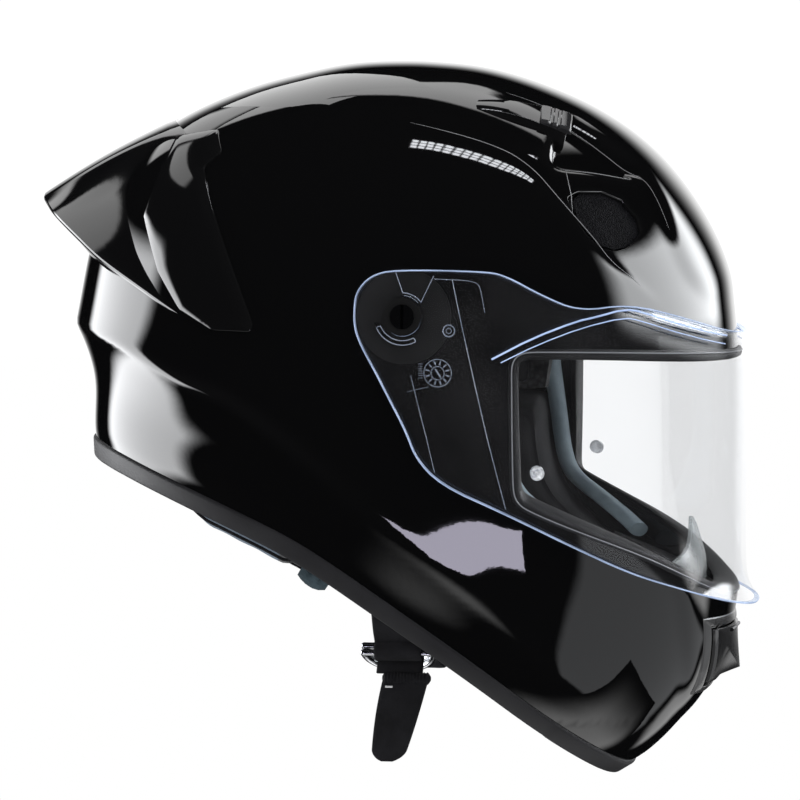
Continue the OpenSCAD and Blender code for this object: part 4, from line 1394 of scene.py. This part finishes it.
for mirror, side_name in SIDES[::-1]:
    vent_piece("top_vent_housing_" + side_name,
               [housing_section(y) for y in np.linspace(HOUSING_FRONT, HOUSING_REAR, 26)],
               mirror, SHELL, "shell_black", replaces=("top_vent_base_" + side_name,))
    vent_piece("top_vent_thumb_" + side_name,
               [thumb_section(*station) for station in THUMB_STATIONS],
               mirror, GLOSSY_PLASTIC, "vent_black", body="top_vent_" + side_name,
               replaces=("top_vent_slider_" + side_name,))


# ---------------------------------------------------------------- chin vent
def front_point(x, z, height):
    """Point on the front of the surface raised by a height, found by halving"""
    inside, outside = 0.0, -260.0
    for _ in range(40):
        y = (inside + outside) / 2
        if level(np.array([x, y, z]), -height) < 0:
            inside = y
        else:
            outside = y
    return np.array([x, inside, z])


BEAK_HALF_WIDTH = 37.0
BEAK_TOP, BEAK_BOTTOM = -147.3, -174.2
BEAK_TIP = front_point(0, -168.4, 13.0)


def beak_section(x):
    """Ring up the face of the shutter: its crest runs from the top corners to the tip"""
    t = abs(x) / BEAK_HALF_WIDTH
    foot = BEAK_BOTTOM + max(0.0, abs(x) - 20.0) * 1.55
    top = front_point(x, BEAK_TOP, 4.6)
    corner = front_point(math.copysign(BEAK_HALF_WIDTH, x), BEAK_TOP, 4.6)
    crest = corner + (BEAK_TIP - corner) * (1 - t)
    crest[0] = x
    lip = front_point(x, foot + 2.2, 5.0)
    return [front_point(x, BEAK_TOP, 2.7), top, 0.5 * (top + crest), crest,
            0.5 * (crest + lip) if t < 0.97 else crest,
            lip, front_point(x, foot, 4.2), front_point(x, foot, 2.7)]


beak_places = np.linspace(-BEAK_HALF_WIDTH, BEAK_HALF_WIDTH, 41)
beak = build("chin_vent_beak", loft([beak_section(x) for x in beak_places]), [BEAK],
             "shell_black", body="chin_shutter", replaces=("chin_vent_shutter",), crease=16)
bevel(beak, width=0.0004, limit=24)

# raised rim round the chin vent: outer and inner corners (x, z)
RIM_OUTER = np.array([[-46.5, -141.4], [46.5, -141.4], [24.8, -179.6], [-24.8, -179.6]])
RIM_INNER = np.array([[-39.2, -146.2], [39.2, -146.2], [21.2, -175.8], [-21.2, -175.8]])
# its section: share of the way in, height
RIM_SECTION = ((0, -0.4), (0.02, 1.6), (0.10, 2.3), (0.6, 3.1), (0.9, 3.3), (1.0, 2.6), (1.0, -0.4))


def chin_vent_surround():
    rings = []
    for i in range(4):
        following = (i + 1) % 4
        for t in np.linspace(0, 1, 26)[:-1]:
            outer = RIM_OUTER[i] * (1 - t) + RIM_OUTER[following] * t
            inner = RIM_INNER[i] * (1 - t) + RIM_INNER[following] * t
            rings.append([front_point(*(outer * (1 - share) + inner * share), height)
                          for share, height in RIM_SECTION])
    obj = build("chin_vent_surround", loft(rings, closed=True), [VENT_FRAME], "vent_black",
                replaces=("chin_vent_frame",), crease=26)
    bevel(obj, width=0.0004, limit=26)


chin_vent_surround()

# ---------------------------------------------------------------- chin strap
WEB_WIDTH, WEB_THICKNESS, WEB_Y = 22.0, 1.7, 12.0
# half of the webbing's section: share of the half width, share of the thickness
WEB_HALF = [(-1, 0.0), (-0.96, 0.45), (-0.85, 0.5), (-0.5, 0.46), (0, 0.5), (0.5, 0.46),
            (0.85, 0.5), (0.96, 0.45)]
WEB_SECTION = WEB_HALF + [(-across, -through) for across, through in WEB_HALF]


def strip(name, line, body="chin_strap", skew=lambda u: 0.0, width=lambda u: WEB_WIDTH,
          replaces=()):
    """Webbing along a line of (x, z); skew and width vary with the place along it, 0..1"""
    path = resample(chaikin(line, 2), 60)
    ahead = np.gradient(path, axis=0)
    ahead /= np.linalg.norm(ahead, axis=1, keepdims=True)
    normals = np.stack([-ahead[:, 1], ahead[:, 0]], -1)
    rings = []
    for i, (point, normal) in enumerate(zip(path, normals)):
        u = i / (len(path) - 1)
        ring = []
        for across, through in WEB_SECTION:
            x, z = point + normal * through * WEB_THICKNESS
            ring.append([x, WEB_Y + skew(u) + across * width(u) / 2, z])
        rings.append(ring)
    build(name, loft(rings), [WEBBING], "strap_web", body=body, replaces=replaces, crease=60)


def web_x(z):
    """Half width at which the webbing lies along the inside of the shell"""
    return float(surface_x(14.0, z, 9.7)) - 0.9


strip("strap_long_web", [
    [web_x(-86) - 2.6, -84], [web_x(-98) - 1.6, -98], [web_x(-112) - 1.6, -112],
    [web_x(-126) - 2.6, -126], [76, -144], [52, -160], [22, -171], [-10, -171], [-30, -162],
    [-44.5, -152.5], [-52.5, -150], [-58, -155.3], [-61.3, -160.4], [-64.6, -165.4],
    [-65.5, -167.4]], replaces=("chin_strap_long",))
strip("strap_short_web", [
    [-web_x(-86) + 2.6, -84], [-web_x(-98) + 1.6, -98], [-web_x(-112) + 1.6, -112],
    [-web_x(-122) + 2.6, -122], [-81.5, -133], [-75.5, -146], [-70.4, -152.1]],
    replaces=("chin_strap_short",))
ring_loop = [[-68 + 4.55 * math.cos(a), -156 + 4.55 * math.sin(a)] for a in around(28)]
strip("strap_ring_loop", ring_loop + ring_loop[:1])


def tail_width(u):
    """Narrows along the tail and rounds off over its last part"""
    end = 1 if u < 0.86 else math.sqrt(max(0.10, 1 - ((u - 0.86) / 0.15) ** 2))
    return 21.6 * (1 - 0.30 * u * u) * end


strip("strap_tail_web", [[-66.1, -168.4], [-67.5, -176], [-68.2, -188], [-66.5, -208.5]],
      body="strap_tail", skew=lambda u: -3.4 + 9.2 * u, width=tail_width,
      replaces=("strap_tail",))

X_AXIS, Z_AXIS = (1, 0, 0), (0, 0, 1)


def tail_fold():
    """Ribbed roll across the webbing where the tail starts"""
    rings = []
    for j, y in enumerate(np.linspace(-2.8, 20.0, 61)):
        fullness = min(1.0, (1 - abs(j - 30) / 30.0) * 12)
        radius = (2.35 + 0.22 * math.cos(j * math.pi / 2)) * (0.35 + 0.65 * fullness)
        rings.append(ellipse((-66.1, y, -169.6), X_AXIS, Z_AXIS, radius, radius * 1.15, 16))
    build("strap_tail_fold", loft(rings), [WEBBING], "strap_web", body="strap_tail", crease=60)


tail_fold()
stitch = [ellipse((-68.75, y, -173.4), X_AXIS, Z_AXIS, -0.45, 0.5, 8)
          for y in np.linspace(14.8, 18.2, 12)]
build("strap_tail_stitch", loft(stitch), [THREAD], "strap_web", body="strap_tail", crease=180)

# ---------------------------------------------------------------- camera, metres
CAMERA_TURN = math.radians(9.7)         # from the wearer's right towards the front
CAMERA_RAISE = math.radians(2.5)
CAMERA_DISTANCE = 2.0
CAMERA_TARGET = np.array([0, 0.023, -0.043]) + ORIGIN

scene = bpy.context.scene
view = np.array([-math.cos(CAMERA_TURN) * math.cos(CAMERA_RAISE),
                 -math.sin(CAMERA_TURN) * math.cos(CAMERA_RAISE), math.sin(CAMERA_RAISE)])
lens = bpy.data.cameras.new("cam")
lens.lens = 187.5
lens.sensor_width = 36.0
lens.clip_end = 30
camera = bpy.data.objects.new("cam", lens)
scene.collection.objects.link(camera)
scene.camera = camera
camera.location = Vector(CAMERA_TARGET + view * CAMERA_DISTANCE)
camera.rotation_euler = Vector(-view).to_track_quat("-Z", "Y").to_euler()

try:
    scene.view_settings.view_transform = "Standard"
except TypeError:
    pass                    # a colour configuration without the Standard view keeps its own


# ---------------------------------------------------------------- world
def studio_world():
    """White to the camera, near black in reflections, soft white for everything else"""
    world = bpy.data.worlds.new("studio")
    scene.world = world
    sh = Shader(world, "OutputWorld")
    rays = sh.add("LightPath")
    backdrop = sh.add("Background", {0: (1, 1, 1, 1), 1: 1.05})
    reflected = sh.add("Background", {0: (0.8, 0.85, 0.95, 1), 1: 0.004})
    ambient = sh.add("Background", {0: (1, 1, 1, 1), 1: 0.55})
    unseen = sh.mix(rays.outputs["Is Glossy Ray"], ambient, reflected)
    sh.finish(sh.mix(rays.outputs["Is Camera Ray"], unseen, backdrop))


studio_world()

# ---------------------------------------------------------------- lights, metres from the pivot
LIGHT_TARGET = np.array([0, 0, -0.05])
# name, location, width, height, power in watts
SOFTBOXES = [
    ("key", (-0.9, -0.9, 1.5), 1.2, 1.2, 24),
    ("fill", (-1.6, 0.4, 0.3), 1.6, 1.0, 9),
    ("back", (0.6, 1.6, 0.9), 1.2, 1.2, 14),
    ("left", (1.7, -0.5, 0.6), 1.4, 1.2, 9)]
for name, location, width, height, power in SOFTBOXES:
    light = bpy.data.lights.new(name, "AREA")
    light.shape = "RECTANGLE"
    light.size = width
    light.size_y = height
    light.energy = power
    softbox = bpy.data.objects.new(name, light)
    scene.collection.objects.link(softbox)
    softbox.location = np.array(location) + ORIGIN
    aim = Vector(LIGHT_TARGET - np.array(location))
    softbox.rotation_euler = aim.to_track_quat("-Z", "Y").to_euler()
    softbox.visible_camera = False
    softbox.visible_glossy = False


def emitter(name, strength, colour=(1, 1, 1), soft=0.0, cells=None):
    """Glowing panel; soft is the share that fades at each edge, cells divides it by dark lines"""
    sh = new_shader(name)
    glow = sh.add("Emission", {"Color": (*colour, 1), "Strength": strength})
    if soft or cells:
        uv = sh.add("SeparateXYZ")
        sh.link(sh.add("TexCoord").outputs["UV"], uv, 0)
        factors = []
        for axis in (0, 1):
            if cells:
                repeated = sh.math("MULTIPLY", uv.outputs[axis], cells[axis])
                folded = sh.math("PINGPONG", repeated, 0.5)
                factors.append(sh.remap(folded, span=(0.06, 0.2), to=(0.12, 1.0)))
            else:
                folded = sh.math("PINGPONG", uv.outputs[axis], 0.5)
                factors.append(sh.remap(folded, span=(0.0, soft), to=(0.0, 1.0),
                                        interpolation_type="SMOOTHSTEP"))
        sh.link(sh.math("MULTIPLY", sh.math("MULTIPLY", *factors), strength), glow, "Strength")
    return sh.finish(glow)


def reflection_panel(name, verts, faces, vertex_uvs, material):
    """A panel that is seen only in reflections"""
    mesh = bpy.data.meshes.new(name)
    mesh.from_pydata((np.array(verts) + ORIGIN).tolist(), [], faces)
    mesh.materials.append(material)
    uv = mesh.uv_layers.new(name="UVMap")
    for loop in mesh.loops:
        uv.data[loop.index].uv = vertex_uvs[loop.vertex_index]
    obj = bpy.data.objects.new(name, mesh)
    scene.collection.objects.link(obj)
    for kind in ("camera", "diffuse", "transmission", "shadow", "volume_scatter"):
        setattr(obj, "visible_" + kind, False)
    obj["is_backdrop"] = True


def sky_panel(name, corners, distance=2.2, **light):
    """Corners are (azimuth, elevation) in degrees: 0 is the wearer's right, 90 the rear"""
    material = emitter(name.replace("_card", "").replace("_diffuser", "_diffuser") + "_light"
                       if not name.endswith("card") or name not in FULL_LIGHT_NAMES
                       else name + "_light", **light)
    corners = np.array(corners, float)
    count = 12
    row = count + 1
    verts, uvs = [], []
    for j in range(row):
        for i in range(row):
            u, v = i / count, j / count
            azimuth, elevation = np.radians((corners[0] * (1 - u) + corners[1] * u) * (1 - v)
                                            + (corners[3] * (1 - u) + corners[2] * u) * v)
            verts.append((-math.cos(azimuth) * math.cos(elevation) * distance,
                          math.sin(azimuth) * math.cos(elevation) * distance,
                          math.sin(elevation) * distance))
            uvs.append((u, v))
    faces = [(j * row + i, j * row + i + 1, (j + 1) * row + i + 1, (j + 1) * row + i)
             for j in range(count) for i in range(count)]
    reflection_panel(name, verts, faces, uvs, material)


def flat_panel(name, centre, width, height, material):
    """Width and height are vectors"""
    verts = [np.array(centre) + a * np.array(width) / 2 + b * np.array(height) / 2
             for a, b in ((-1, -1), (1, -1), (1, 1), (-1, 1))]
    reflection_panel(name, verts, [(0, 1, 2, 3)], ((0, 0), (1, 0), (1, 1), (0, 1)), material)


# cards whose material keeps the whole name of the panel
FULL_LIGHT_NAMES = ("crown_card", "chin_card", "low_card")

flat_panel("top_diffuser", (1.02, 0.30, 1.6), (0.62, -0.16, 0), (0.62, 2.3, 0),
           emitter("top_diffuser_light", 2.3, soft=0.10))
flat_panel("top_grid_box", (-0.40, -0.36, 1.6), (0.16, -0.02, 0), (0.04, 0.95, 0),
           emitter("top_grid_light", 16, (0.93, 0.95, 1.0), cells=(3, 16)))
sky_panel("rear_diffuser", [(61, -31), (121, -31), (125, 19), (73, 19)],
          strength=8.0, colour=(0.97, 0.98, 1.0), soft=0.16)
sky_panel("front_diffuser", [(-150, -2), (-62, -2), (-62, 31), (-150, 31)],
          strength=8.0, colour=(0.96, 0.98, 1.0), soft=0.16)
sky_panel("rear_high_card", [(80, 36.5), (126, 35.5), (126, 44), (80, 45)],
          strength=1.8, soft=0.12)
sky_panel("rear_side_card", [(126.5, 27), (150, 23), (150, 46), (126.5, 46)],
          strength=1.7, soft=0.12)
sky_panel("crown_card", [(133, 62), (176, 62), (160, 30), (150.5, 30)],
          distance=1.9, strength=2.2)
sky_panel("chin_top_card", [(-126.5, -23), (-94, -23), (-94, -10), (-126.5, -10)],
          strength=2.2, soft=0.3)
sky_panel("beak_card", [(-156, -50), (-128.5, -50), (-128.5, -24), (-156, -24)],
          strength=1.5, soft=0.3)
sky_panel("low_strip", [(4, -64), (36, -60), (36, -45), (2, -46)], strength=1.1, soft=0.45)
sky_panel("chin_card", [(-128, -68), (-28, -68), (-34, -24), (-128, -24)],
          strength=0.85, colour=(0.95, 0.97, 1.0), soft=0.06)
sky_panel("far_backdrop", [(140, -16), (210, -16), (210, 30), (140, 30)],
          strength=1.3, soft=0.3)
sky_panel("low_card", [(-15, -39.5), (12, -41), (12, -34.5), (-15, -33.5)],
          strength=9, colour=(0.86, 0.82, 1.0))
flat_panel("floor_glow", (0.1, 0.1, -1.4), (0.9, 0, 0), (0, 2.4, 0),
           emitter("floor_glow_light", 1.7, soft=0.3))

# ---------------------------------------------------------------- floor, metres
FLOOR_HALF = 6
floor_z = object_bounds()[0][2] - 0.006
floor_mesh = bpy.data.meshes.new("floor")
floor_mesh.from_pydata([(a * FLOOR_HALF, b * FLOOR_HALF, floor_z)
                        for a, b in ((-1, -1), (1, -1), (1, 1), (-1, 1))], [], [(0, 1, 2, 3)])
floor_mesh.materials.append(emitter("floor_white", 1.0))
floor = bpy.data.objects.new("studio_floor", floor_mesh)
scene.collection.objects.link(floor)
floor.visible_glossy = False
floor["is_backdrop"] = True
